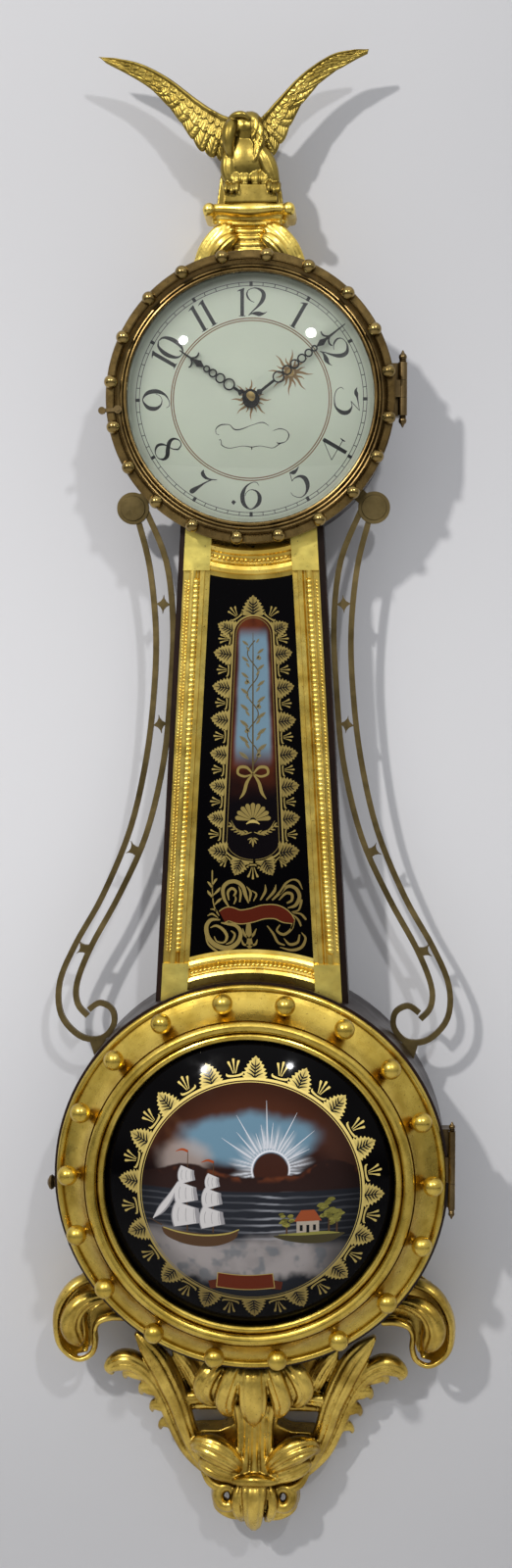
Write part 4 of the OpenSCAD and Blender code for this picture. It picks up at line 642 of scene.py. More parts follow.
        # Drop: a volute with a deep round eye
        turns = [(23 + 6.9 * math.cos(a), -121 + 7.8 * math.sin(a), 36 - 2 * math.sin(a), 5.0, 6)
            for a in np.radians(np.arange(80, -290, -24))]
        c.leaf(turns, side=side, under=18, steps=3)
        c.leaf([(31, -122, 30, 4, 4), (29, -131, 31, 5.4, 5), (21, -137, 30, 5.6, 5),
            (13, -141, 27, 4.6, 4), (8, -147, 24, 1.6, 1.6)], [(0, 1.1, 0.16)], side=side, under=14)
        c.leaf([(9, -106, 38, 3, 3), (13, -114, 44, 4.0, 4), (14.5, -124, 45, 4.4, 4.4),
            (13, -134, 40, 4.2, 4), (11, -143, 32, 2, 2)], [(0, 1.2, 0.18)], side=side, under=14)
    # Fluted column, its lip, and the leaf at the drop
    for x, wide in ((0, 3.4), (-6.5, 3.2), (6.5, 3.2), (-12.5, 3.0), (12.5, 3.0)):
        spread = x / 12.5
        c.leaf([(1 + x * 1.15, -44, 36, wide, 3.4), (1 + x, -60, 36, wide, 3.8),
            (1 + x, -76, 38, wide, 4.2), (1 + x * 1.1, -90, 41, wide, 4.2),
            (1 + x * 1.25, -101, 44 - abs(spread) * 2, wide * 1.2, 3.8)], under=10)
    c.leaf([(-20, -106, 40, 2.4, 2.4), (-11, -103.5, 47, 3.8, 4), (1, -101.5, 51, 4.8, 4.6),
        (13, -103.5, 47, 3.8, 4), (22, -106, 40, 2.4, 2.4)], under=9)
    c.leaf([(1, -104, 44, 10, 3), (1, -112, 50, 10, 5), (0.6, -124, 49, 9, 6.4), (0, -136, 42, 8, 6.4),
        (0, -146, 34, 5.8, 5), (-0.4, -151.6, 27, 1.4, 1.6)],
        [(-0.62, 1.5, 0.12), (0.62, 1.5, 0.12), (0, 0.7, 0.1)], under=12, across=19)
    c.fuse("bracket_carved", "gilt_carved", 0.9, 1, ["bracket_body", "bracket_leaves", "bracket_drop"])


def scroll_leaf(side, name, replaces):
    """A hooded leaf that curls out and down from the side of the base, a lobe hanging in its hollow."""
    c = Carving(BASE)
    # Hood: its board, hollow and rim
    c.slab([(side * x, y) for x, y in ((104, -99), (116, -97), (130, -97), (143, -102), (152, -112),
        (156, -124), (157, -138), (154, -150), (148, -157), (140, -159.5), (133, -156), (130, -147),
        (130, -138), (126, -131), (114, -129), (104, -131))], 16, 33)
    c.leaf([(112, -100, 30, 17, -5), (126, -104, 36, 16, -7), (138, -112, 40, 15, -9),
        (146, -124, 41, 14, -11), (147, -137, 40, 13, -12), (143, -149, 40, 11, -10),
        (138, -155, 42, 6, -5)], side=side, under=6, across=19)
    c.leaf([(116, -96, 38, 4, 5), (130, -94.5, 46, 4, 5), (143, -99, 51, 4, 5), (152, -109, 53, 3.6, 5),
        (157.5, -122, 52, 3.2, 5), (159, -136, 49, 2.8, 4.6), (157, -149, 47, 2.6, 4),
        (149.5, -158, 47, 2.5, 4), (140, -161.5, 48, 2.4, 4), (131, -157, 47, 2.4, 4),
        (128, -148, 45, 2.4, 4), (128.5, -138, 44, 2.4, 4), (125, -131, 44, 2.8, 4),
        (115, -128, 42, 3.4, 4), (104, -130, 38, 3, 3)], side=side, under=7, across=11)
    # Hanging lobe with two grooves
    c.leaf([(114, -111, 46, 4, 3), (124, -108, 54, 6, 5), (134, -110, 59, 7.4, 6), (142, -117, 61, 8.4, 7),
        (145.5, -128, 60, 9, 7.6), (143.5, -138, 56, 8.4, 7), (141, -145, 51, 5, 5), (140, -149, 47, 2, 2)],
        [(-0.35, 1.6, 0.13), (0.3, 1.6, 0.13)], side=side, under=6, across=21)
    # Small bud beside the base
    c.leaf([(112, -104, 44, 2.4, 2), (120, -99, 52, 3.4, 3), (126, -96, 55, 2.4, 2.4),
        (129, -96, 54, 1, 1)], side=side, under=3)
    c.fuse(name, "gilt_carved", 0.8, 2, replaces)


eagle()
eagle_plinth()
bracket()
scroll_leaf(-1, "scroll_leaf_left", ["bracket_scrolls"])
scroll_leaf(1, "scroll_leaf_right", ())


# Painted work
def tinted(o, colours):
    """Gives each point its colour, in the attribute that the art materials read."""
    layer = o.data.color_attributes.new("tint", "FLOAT_COLOR", "POINT")
    flat = np.concatenate([colours.reshape(-1, 3), np.ones((colours.size // 3, 1))], 1)
    layer.data.foreach_set("color", flat.astype(np.float32).ravel())


class Art:
    """Thin painted shapes in stacked layers; lift gives the distance from the wall at a place and layer."""

    def __init__(self, centre, lift):
        self.centre, self.lift = centre, lift
        self.points, self.faces, self.colours = [], [], []

    def add(self, points, faces, colour, layer):
        start = len(self.points)
        self.points += [(x, y, self.lift(x, y, layer)) for x, y in points]
        self.faces += [[start + i for i in f] for f in faces]
        self.colours += [colour] * len(points) if isinstance(colour[0], float) else list(colour)

    def stroke(self, rows, colour, layer=1, steps=8, spin=0.0, shift=(0, 0), grow=1.0):
        """A line through rows of x, y and full width, turned clockwise by spin degrees and then shifted.
        Two colours are those of its edges and its middle."""
        q = curve(rows, steps)
        t = np.gradient(q[:, :2], axis=0)
        t /= np.maximum(np.linalg.norm(t, axis=1), 1e-9)[:, None]
        side = np.stack([-t[:, 1], t[:, 0]], 1) * np.maximum(q[:, 2:3], 0.12) / 2
        a = math.radians(spin)
        turn = np.array([[math.cos(a), -math.sin(a)], [math.sin(a), math.cos(a)]])
        rows = [(q[:, :2] + k * side) @ turn * grow + np.array(shift) for k in (-1, 0, 1)]
        n = len(q)
        points = [tuple(r[i]) for i in range(n) for r in rows]
        faces = [[3 * i + k, 3 * i + k + 1, 3 * i + k + 4, 3 * i + k + 3] for i in range(n - 1)
            for k in (0, 1)]
        if len(colour) == 2:
            colour = [colour[0], colour[1], colour[0]] * n
        self.add(points, faces, colour, layer)

    def ring(self, x, y, r, width, colour, layer=1, n=180):
        points = [(x + q * math.cos(a), y + q * math.sin(a))
            for a in np.linspace(0, 2 * math.pi, n, endpoint=False) for q in (r - width / 2, r + width / 2)]
        faces = [[2 * i, 2 * i + 1, (2 * i + 3) % (2 * n), (2 * i + 2) % (2 * n)] for i in range(n)]
        self.add(points, faces, colour, layer)

    def patch(self, outline, colour, layer=1):
        """A filled shape seen whole from its own middle."""
        n = len(outline)
        middle = tuple(np.mean(np.array(outline, float), axis=0))
        self.add([middle] + list(outline), [[0, 1 + k, 1 + (k + 1) % n] for k in range(n)], colour, layer)

    def make(self, name, material, slot, body="case"):
        o = new_mesh(name, in_frame(self.points, self.centre), self.faces, to_front=True)
        tinted(o, np.array(self.colours))
        return place(o, material, slot, body)


INK = (0.008, 0.009, 0.010)
BROWN = (0.24, 0.125, 0.055)
RAY = (0.30, 0.17, 0.055)

# Figures of the dial, upright and 22 high: each is a list of strokes of x, y and width
ONE = [[(0, -10.4, 2.9), (0, 0, 2.9), (0, 9.2, 2.9)],
    [(-3.9, 8.3, 0.3), (-2.2, 9.1, 1.0), (0.3, 9.4, 2.4), (1.45, 10.9, 0.5)],
    [(-2.6, -10.6, 0.5), (0, -10.7, 0.7), (2.6, -10.6, 0.5)]]
TWO = [[(-0.6, -0.3, 0.4), (-3.4, 1.0, 0.7), (-5.6, 3.4, 1.4), (-6.5, 6.6, 1.2), (-4.8, 9.6, 0.6),
    (0.2, 10.8, 0.9), (5.2, 8.6, 2.4), (6.7, 5.1, 3.3), (5.3, 0.6, 3.0), (1.6, -3.8, 1.6),
    (-2.3, -7.3, 0.9), (-5.2, -10.4, 0.5)], [(-5.3, -10.4, 0.3), (-2.8, -9.0, 1.0), (0.2, -8.8, 2.6),
    (3.4, -9.2, 3.5), (6.6, -9.0, 1.4), (9.4, -7.6, 0.3)]]
NOUGHT = [[(0, 10.6, 0.6), (3.9, 8.6, 1.7), (5.9, 3, 3.1), (5.9, -3, 3.1), (3.9, -8.6, 1.7),
    (0, -10.6, 0.6), (-3.9, -8.6, 1.7), (-5.9, -3, 3.1), (-5.9, 3, 3.1), (-3.9, 8.6, 1.7), (0, 10.6, 0.6)]]
THREE = [[(-9, 7.6, 0.3), (-6.4, 6.6, 2.0), (-4.0, 7.0, 3.0), (-1.0, 7.8, 1.4), (4, 8.7, 0.6),
    (9.2, 9.6, 0.4)], [(9.2, 9.6, 0.4), (5.4, 6.2, 0.6), (1.6, 2.8, 0.5)],
    [(1.6, 2.8, 0.4), (6, 3.6, 0.9), (10.2, 0.6, 3.0), (10.4, -4.2, 3.2), (6.4, -9, 1.5), (0.4, -10.2, 0.8),
    (-6, -9, 0.6), (-9, -5.4, 0.5), (-7.6, -2.8, 0.4)]]
FOUR = [[(1.3, 10.8, 3.0), (1.3, 0, 3.0), (1.3, -10.2, 3.0)],
    [(1.3, 11.0, 0.5), (-4, 4.2, 0.5), (-9.4, -3.0, 0.5)],
    [(-9.4, -3.0, 0.6), (0, -3.0, 0.6), (8.6, -3.0, 0.6)],
    [(8.4, -5.2, 0.5), (8.3, -3.0, 1.2), (8.9, -0.4, 0.4)]]
FIVE = [[(6.4, 11.6, 0.4), (3.2, 9.9, 1.9), (0.4, 9.6, 3.2), (-2.4, 10.9, 0.6)],
    [(-2.2, 10.6, 0.6), (-3.0, 7.6, 0.6), (-4.0, 4.2, 0.5)],
    [(-4.0, 4.2, 0.6), (-1, 5.2, 0.8), (3.4, 4.4, 2.0), (6.0, 0.6, 3.5), (5.0, -5, 3.2), (0.8, -9.4, 1.3),
    (-4.4, -10.2, 0.6), (-8.4, -6.6, 0.5), (-9.2, -3.0, 0.4)]]
SIX = [[(6.1, 8.6, 0.4), (4.4, 10.9, 0.5), (0.8, 10.9, 0.6), (-4.1, 7.6, 1.6), (-6.8, 1.3, 3.3),
    (-5.7, -6, 3.0), (-0.3, -10.0, 0.8), (5.5, -6, 2.9), (6.7, -0.4, 3.1), (4.2, 4.0, 1.4),
    (-0.3, 5.2, 0.5), (-3.6, 3.2, 0.5), (-4.8, 0.4, 0.4)]]
SEVEN = [[(-5.2, 9.6, 0.4), (-4.4, 6.6, 3.0), (-0.6, 5.0, 2.2), (3.4, 5.8, 1.0), (8.0, 8.0, 0.5)],
    [(8.0, 8.0, 0.5), (4.4, 6.0, 0.9), (1.0, 1.6, 1.1), (-1.8, -3.6, 2.2), (-4.2, -8.2, 3.9),
    (-5.2, -10.4, 3.4), (-5.5, -11.4, 0.8)]]
EIGHT = [[(4.6, 6.4, 1.4), (2.6, 10.2, 0.8), (-1.2, 10.6, 0.8), (-4.5, 7.4, 1.8), (-3.8, 3.2, 3.0),
    (0, -0.4, 3.2), (4.4, -3.6, 3.2), (5.4, -7.4, 2.0), (2.4, -10.7, 0.7), (-2.6, -10.5, 0.8),
    (-6.0, -7.0, 2.0), (-5.6, -3.2, 2.0), (-2.4, 0.2, 0.8), (2.0, 2.8, 0.8), (4.6, 6.4, 1.4)]]
NINE = [[(-x, -y, w) for x, y, w in line] for line in SIX]


def aside(figure, x):
    return [[(a + x, b, w) for a, b, w in line] for line in figure]


FIGURES = [(30, ONE), (60, TWO), (90, THREE), (120, FOUR), (150, FIVE), (180, SIX), (210, SEVEN),
    (240, EIGHT), (270, NINE), (300, aside(ONE, -6.9) + aside(NOUGHT, 3.6)),
    (330, aside(ONE, -4.3) + aside(ONE, 4.3)), (0, aside(ONE, -7) + aside(TWO, 3.2))]


# Distance of the dial's paint from the wall, and radii of the minute track and of the figures
DIAL_D = 70.2
TRACK_IN, TRACK_OUT = 85.7, 88.3
FIGURES_R = 73.4


def dial_art():
    """Figures, minute track, sunbursts and an empty cartouche on the painted dial."""
    a = Art(HEAD, lambda x, y, layer: DIAL_D + 0.04 * layer)
    for r in (TRACK_IN, TRACK_OUT):
        a.ring(0, 0, r, 0.46, INK)
    for i in range(60):
        rows = [(0, TRACK_IN, 0.55), (0, 87, 0.55), (0, TRACK_OUT, 0.55)]
        if i % 5 == 0:
            rows = [(0, TRACK_IN - 0.5, 2.3), (0, 87, 2.5), (0, TRACK_OUT + 0.5, 2.3)]
        a.stroke(rows, INK, 2, 1, spin=6 * i)
    for r in (59.6, 61.3):
        a.ring(0, 0, r, 0.85, BROWN)
    for angle, figure in FIGURES:
        t = math.radians(angle)
        turned = angle if angle <= 90 or angle >= 270 else angle - 180
        for line in figure:
            a.stroke(line, INK, 2, 8, turned, (FIGURES_R * math.sin(t), FIGURES_R * math.cos(t)), 0.97)
    a.patch([(-15.3, -77.8), (-13.6, -75.9), (-11.6, -77.6), (-13.4, -79.8)], INK, 2)
    for cx, cy, long, turn in ((0, 0, 15.4, 0), (30.1, 20.3, 17.4, 4)):
        for i in range(16):
            reach = long if i % 2 == 0 else long * 0.68
            bend = 0.5 if i % 2 else -0.5
            a.stroke([(0, 3, 2.0), (bend, reach * 0.45, 1.9), (-bend, reach * 0.75, 1.1), (0, reach, 0.2)],
                RAY, 1 + i % 2, 6, 22.5 * i + turn, (cx, cy))
    for line in ([(-24.6, -26.6, 0.5), (-26.8, -25.4, 0.3), (-26.8, -21.8, 0.7), (-23, -19, 0.9),
            (-16.7, -19, 0.5), (-12.9, -22.4, 0.9), (-7.8, -22.4, 0.8), (1, -19.2, 0.4), (8.6, -17.3, 0.7),
            (13.7, -19.9, 0.3)], [(16.8, -23.7, 0.3), (21.9, -22.2, 0.7), (27, -23.7, 0.5),
            (28.9, -27.5, 0.9), (26.3, -31.9, 0.5), (21.3, -33.2, 0.9), (19.6, -32.2, 0.4)],
            [(-24.4, -30.4, 0.9), (-23, -30.6, 0.4), (-22.4, -34.4, 0.7), (-16.7, -36.7, 0.5),
            (-6.6, -35.1, 0.4), (0.4, -35.9, 0.7), (7.3, -35.1, 0.4), (16.2, -36.7, 0.5),
            (20.6, -34.4, 0.7), (23.8, -32.5, 0.4)], [(0.4, -35.6, 0.3), (0.5, -36.9, 0.9),
            (0.4, -38.2, 0.3)]):
        a.stroke(line, INK, 2, 6)
    a.make("dial_art", "art_matt", "dial_paint")


dial_art()


# Painted tablets
# A serrated edge: places along a leaf 16.2 long, and its full width at each
LEAF = 16.2
SERRATE = ((0, 15.5), (1.7, 19.4), (2.5, 14.8), (4.3, 19), (5.1, 13.6), (7.0, 17), (7.8, 11.6), (9.8, 13.8),
    (10.6, 8.8), (12.2, 10.2), (12.8, 5.6), (14.2, 6.2), (14.6, 2.8), (16.2, 0.3))


def gold_leaf(shade):
    """Gold leaf behind glass, from dim (0) to lit (1)."""
    dim, lit = np.array((0.10, 0.066, 0.020)), np.array((0.98, 0.77, 0.24))
    return tuple(float(c) for c in dim + (lit - dim) * shade)


def engraved_leaf(a, x, y, angle, size, shade):
    """A serrated leaf with cut veins, its foot at x, y and its tip towards angle (clockwise from up)."""
    a.stroke([(0, t, w) for t, w in SERRATE], (gold_leaf(shade), gold_leaf(shade * 0.5)), 1, 1, angle,
        (x, y), size / LEAF)
    a.stroke([(0, 0.5, 1.0), (0, 8, 0.8), (0, 13.5, 0.3)], INK, 2, 3, angle, (x, y), size / LEAF)
    for side in (-1, 1):
        for t in (3.2, 5.8, 8.4, 10.8):
            a.stroke([(side * 0.3, t - 2.4, 1.1), (side * 2.6, t - 0.6, 1.1),
                (side * (7.6 - 0.42 * t), t + 0.8, 0.2)], INK, 2, 3, angle, (x, y), size / LEAF)


def sprig(a, x, y, angle, size, shade):
    """Three short blades over a small curl."""
    for tip, reach in ((0, 13), (-4.2, 11.2), (4.2, 11.2)):
        a.stroke([(tip * 0.25, 2.2, 0.5), (tip * 0.6, reach * 0.6, 0.9), (tip * 0.96, reach * 0.94, 1.9),
            (tip, reach, 0.6)], gold_leaf(shade), 1, 5, angle, (x, y), size / 13)
    a.stroke([(-6.6, 2.6, 0.6), (-5.6, 0.9, 1.6), (0, 0.2, 1.2), (5.6, 0.9, 1.6), (6.6, 2.6, 0.6)],
        gold_leaf(shade), 1, 5, angle, (x, y), size / 13)


# The domed glass: radius of its sphere, and how far that sphere's centre is behind the paint and the glass
DOME_R, PAINT_SINK, GLASS_SINK = 211.3, 81.2, 81.35
# Middle of the painted circle, beside and above the middle of the base
PICTURE_X, PICTURE_Y = 1.9, -1.2
SUN = (16.0, 20.0)
SUN_R = 14.2


def dome(x, y, layer):
    return -PAINT_SINK + math.sqrt(DOME_R**2 - x * x - y * y) + 0.05 * layer


def mottle(x, y, size, seed, octaves=4):
    """Soft random clouds from 0 to 1."""
    total = np.zeros_like(x)
    for k in range(octaves):
        table = np.random.RandomState(seed + k).rand(64, 64)
        gx, gy = x / size * 2**k + 320, y / size * 2**k + 320
        i, j = np.floor(gx).astype(int), np.floor(gy).astype(int)
        u, v = gx - i, gy - j
        u, v = u * u * (3 - 2 * u), v * v * (3 - 2 * v)
        total += 0.5**k * ((table[i % 64, j % 64] * (1 - u) + table[(i + 1) % 64, j % 64] * u) * (1 - v)
            + (table[i % 64, (j + 1) % 64] * (1 - u) + table[(i + 1) % 64, (j + 1) % 64] * u) * v)
    return total / (2 - 0.5**(octaves - 1))


def ease(v, low, high):
    t = np.clip((v - low) / (high - low), 0, 1)
    return t * t * (3 - 2 * t)


def wash(base, colour, amount):
    return base + (np.array(colour) - base) * amount[..., None]


def sunrise(x, y):
    """Colours of a sunrise over the sea, with far hills, mist in front and a dark foot."""
    n, fine = mottle(x, y, 34, 3), mottle(x, y, 9, 11, 3)
    c = np.zeros(x.shape + (3,)) + (0.012, 0.008, 0.009)
    sky = ease(y + 10 * n, 0, 18)
    c = wash(c, (0.070, 0.022, 0.011), sky * ease(y + 26 * n, 22, 62))
    c = wash(c, (0.21, 0.085, 0.034), sky * ease(n, 0.42, 0.72) * ease(y, 20, 55) * 0.8)
    blue = sky * ease(1 - np.hypot((x - 4) / 66, (y - 44) / 25) + 0.7 * (n - 0.5), 0.0, 0.42)
    c = wash(c, (0.14, 0.25, 0.33), blue)
    c = wash(c, (0.44, 0.36, 0.32), sky * ease(1 - np.hypot((x + 52) / 26, (y - 26) / 18) + 0.9 * (n - 0.5),
        0.0, 0.6) * 0.65)
    c = wash(c, (0.07, 0.028, 0.018), sky * ease(x + 20 * n, 52, 76) * 0.85)
    r, t = np.hypot(x - SUN[0], y - SUN[1]), np.arctan2(y - SUN[1], x - SUN[0])
    c = wash(c, (0.60, 0.62, 0.66), ease(27 + 9 * np.abs(np.sin(8 * t)) - r, 0, 16) * ease(r, 13, 15)
        * (0.35 + 0.65 * ease(np.sin(46 * t + 3 * n), -0.2, 0.6)))
    c = wash(c, (0.05, 0.018, 0.012), ease(13.6 - r, 0, 1.2))
    c = wash(c, (0.80, 0.80, 0.84), ease(1.0 - np.abs(r - SUN_R), 0, 0.8))
    # Far hills, then the sea
    far = 14 + 9 * np.exp(-((x + 48) / 22)**2) + 12 * np.exp(-((x - 62) / 20)**2) + 3 * fine
    c = wash(c, (0.028, 0.014, 0.012), ease(far - y, 0, 1.5))
    c = wash(c, (0.16, 0.045, 0.018), ease(far - y, 0, 3) * ease(y - far + 7, 0, 5) * ease(fine, 0.45, 0.7)
        * 0.8)
    sea = ease(4 - y, 0, 1.5)
    c = wash(c, (0.020, 0.022, 0.028), sea)
    wave = ease(np.sin(1.15 * y + 5 * mottle(x * 0.25, y, 9, 21)), 0.45, 0.95)
    c = wash(c, (0.30, 0.31, 0.34), sea * wave
        * (0.16 + 0.75 * np.exp(-((x - SUN[0]) / (9 + 0.3 * np.abs(y)))**2)) * ease(y, -44, -30))
    # Mist in front, its dark foot, and the black below
    mist = ease(-y + 15 * n + 4 * np.sin(x / 15), 36, 48) * ease(y + 12 * fine, -66, -56)
    c = wash(c, (0.33, 0.30, 0.29), mist * (0.6 + 0.4 * ease(n, 0.3, 0.6)))
    c = wash(c, (0.13, 0.145, 0.16), mist * ease(fine, 0.52, 0.75) * 0.7)
    c *= (1 - 0.5 * ease(x, 30, 85) * ease(-y, -60, 20))[..., None]
    return c * (0.55 + 0.45 * ease(86 - np.hypot(x - PICTURE_X, y - PICTURE_Y), 0, 22))[..., None]


def disc_grid(r, n):
    x, y = np.meshgrid(np.linspace(-1, 1, n), np.linspace(-1, 1, n), indexing="ij")
    return r * x * np.sqrt(1 - y * y / 2), r * y * np.sqrt(1 - x * x / 2)


def painted_sheet(name, x, y, d, colours, centre, slot, body):
    """An open sheet of points x, y, d in a grid, with a colour at each."""
    rows, cols = x.shape
    at = np.arange(rows * cols).reshape(rows, cols)
    faces = np.stack([at[:-1, :-1], at[1:, :-1], at[1:, 1:], at[:-1, 1:]], -1).reshape(-1, 4)
    points = np.stack([x, -d, centre + y], -1).reshape(-1, 3) * MM
    o = new_mesh(name, points.tolist(), faces.tolist(), outward=False)
    tinted(o, colours)
    return place(o, "art_gloss", slot, body)


def base_tablet():
    """The domed glass: a sunrise with a ship in a gold circle, with leaves and sprigs round it."""
    x, y = disc_grid(111.8, 61)
    d = np.sqrt(DOME_R**2 - x * x - y * y) - GLASS_SINK
    carved_sheet("tablet_glass", np.stack([x, y, d], -1), np.stack([x, y, d - 2.4], -1), BASE,
        "tablet_black", "painted_glass", "base_door", ["base_door_glass"])
    x, y = disc_grid(85.6, 251)
    px, py = x + PICTURE_X, y + PICTURE_Y
    d = np.sqrt(DOME_R**2 - px**2 - py**2) - PAINT_SINK
    painted_sheet("tablet_picture", px, py, d, sunrise(x, y), BASE, "painted_glass", "base_door")
    a = Art(BASE, dome)

    def shade(angle):
        """Light falls on the gold from the upper left."""
        s = math.sin(math.radians(angle + 12))
        return 0.5 + (0.5 if s > 0 else 0.36) * s

    n = 240
    for r, w in ((86.4, 1.9), (84.2, 0.5)):
        points, colours = [], []
        for k in range(n):
            t = 360 * k / n
            for q in (r - w / 2, r + w / 2):
                points.append((PICTURE_X + q * math.cos(math.radians(t)),
                    PICTURE_Y + q * math.sin(math.radians(t))))
                colours.append(gold_leaf(shade(t)))
        a.add(points, [[2 * k, 2 * k + 1, (2 * k + 3) % (2 * n), (2 * k + 2) % (2 * n)] for k in range(n)],
            colours, 2)
    leaves = (88, 65.5, 45, 21.5, -2.3, -23, -43.6, -66.7, 271.4, 249, 227.6, 201.2, 176.6, 155.6, 134.5,
        110)
    sprigs = (97.9, 75.7, 55.1, 31.4, 8.7, -12.3, -33.2, -55, 283, 260, 238, 214, 189, 166, 145, 122)
    for angles, r, draw, size, dim in ((leaves, 86.6, engraved_leaf, 16.0, 1),
            (sprigs, 88.8, sprig, 12.6, 0.95)):
        for t in angles:
            c, q = math.cos(math.radians(t)), math.sin(math.radians(t))
            draw(a, PICTURE_X + r * c, PICTURE_Y + r * q, 90 - t, size, shade(t) * dim)
    # Long rays of the sun
    for t, reach in ((92, 50), (84, 34), (100, 33), (62, 46), (122, 46), (55, 34), (132, 36), (38, 44),
            (148, 42), (74, 27), (110, 28), (24, 34)):
        t = math.radians(t)
        a.stroke([(SUN[0] + q * math.cos(t), SUN[1] + q * math.sin(t), w) for q,
            w in ((15, 1.5), (0.5 * (15 + reach), 0.9), (reach, 0.2))], (0.62, 0.64, 0.68), 1, 6)
    # A two-masted ship: hull, masts, sails, pennants
    sail, dim, wood_brown = (0.60, 0.58, 0.57), (0.30, 0.29, 0.30), (0.085, 0.045, 0.022)
    a.stroke([(-66, -30, 1), (-60, -34, 7), (-44, -37, 10.5), (-26, -37, 10), (-12, -33, 7),
        (-7, -28.6, 1.2)], wood_brown, 1, 8)
    a.stroke([(-65, -29.6, 0.8), (-52, -32.4, 1.2), (-34, -33.6, 1.2), (-16, -31.4, 1.2), (-6, -27.6, 0.8)],
        (0.42, 0.33, 0.09), 2, 8)
    for x0, foot, top in ((-46, -31, 31), (-26, -31, 24)):
        a.stroke([(x0, foot, 1.1), (x0, 0, 0.9), (x0 + 0.6, top, 0.5)], wood_brown, 1, 10)
        a.stroke([(x0 + 0.6, top, 1.8), (x0 - 4, top + 1.2, 1.6), (x0 - 9, top - 0.6, 0.3)],
            (0.36, 0.07, 0.02), 2, 5)
    for x0, y0, wide, tall in ((-46, -26, 22, 16), (-46, -8, 18, 14), (-45.6, 7.6, 13, 11),
            (-26, -26, 19, 14), (-26, -10, 15.5, 12.5), (-25.6, 4, 11, 10)):
        rows = [(x0 - 1.2 * math.sin(math.pi * k / 6), y0 + tall * k / 6,
            wide * (1 - 0.16 * k / 6 + 0.10 * math.sin(math.pi * k / 6))) for k in range(7)]
        a.stroke(rows, dim, 2, 2)
        a.stroke([(px - 0.06 * w, py, w * 0.80) for px, py, w in rows], sail, 3, 2)
        for k in (-0.28, 0, 0.28):
            a.stroke([(px + k * w, py, 0.35) for px, py, w in rows[1:-1]], dim, 4, 2)
    a.stroke([(-66, -28, 0.9), (-76, -23.4, 0.4)], wood_brown, 2, 6)
    a.stroke([(-73, -23.4, 0.5), (-66, -15, 6), (-58.4, -4, 5), (-53, 8, 0.4)], dim, 2, 8)
    a.stroke([(-73, -23.4, 0.3), (-66.6, -15.4, 4), (-59, -4.4, 3.4), (-53.4, 7, 0.3)], sail, 3, 8)
    # An island with a cottage and two trees
    a.stroke([(20, -33, 0.6), (30, -34, 5.4), (46, -35, 9), (62, -35, 8), (74, -33, 0.8)],
        (0.060, 0.050, 0.022), 1, 8)
    a.stroke([(24, -31.8, 0.5), (40, -31.6, 2.2), (58, -31.4, 2.4), (70, -32.4, 0.6)], (0.26, 0.24, 0.06),
        2, 8)
    a.stroke([(46, -31, 17), (46, -21, 17)], (0.40, 0.34, 0.27), 2, 4)
    a.stroke([(46, -21.4, 21), (46, -16, 14.5), (46, -12.6, 10)], (0.30, 0.07, 0.025), 3, 4)
    for wx in (41, 46, 51):
        a.stroke([(wx, -29 if wx != 46 else -30.6, 2.2), (wx, -24.4, 2.2)], INK, 4, 3)
    for tx, ty, r in ((62, -12, 8.4), (68, -20, 6), (30, -20, 5.6)):
        a.stroke([(tx, -32, 1.4), (tx, ty, 1.0)], wood_brown, 2, 4)
        for k in range(16):
            u, v, w = tx + rng.uniform(-1, 1) * r * 0.75, ty + rng.uniform(-1,
                1) * r * 0.9, rng.uniform(0.3, 0.45) * r
            tone = rng.uniform(0.4, 1.1)
            a.stroke([(u - w, v - 0.4, 0.3), (u - w * 0.4, v, w), (u + w * 0.5, v + 0.3, w * 0.9),
                (u + w, v, 0.3)], (0.24 * tone, 0.22 * tone, 0.05 * tone), 3 + k % 2, 3)
    # Bare ribbon
    a.stroke([(-30, -75.4, 7), (-23, -74, 8), (-22, -73.6, 8)], (0.09, 0.02, 0.01), 1, 4)
    a.stroke([(18, -73.6, 8), (19, -74, 8), (26, -75.4, 7)], (0.09, 0.02, 0.01), 1, 4)
    a.stroke([(-24, -70.6, 13.4), (-12, -71.8, 13.4), (-2, -72.2, 13.4), (8, -71.8, 13.4),
        (20, -70.6, 13.4)], (0.42, 0.30, 0.09), 2, 6)
    a.stroke([(-23.4, -70.6, 12), (-12, -71.8, 12), (-2, -72.2, 12), (8, -71.8, 12), (19.4, -70.6, 12)],
        (0.12, 0.021, 0.008), 3, 6)
    a.make("tablet_art", "art_gloss", "painted_glass", "base_door")


base_tablet()


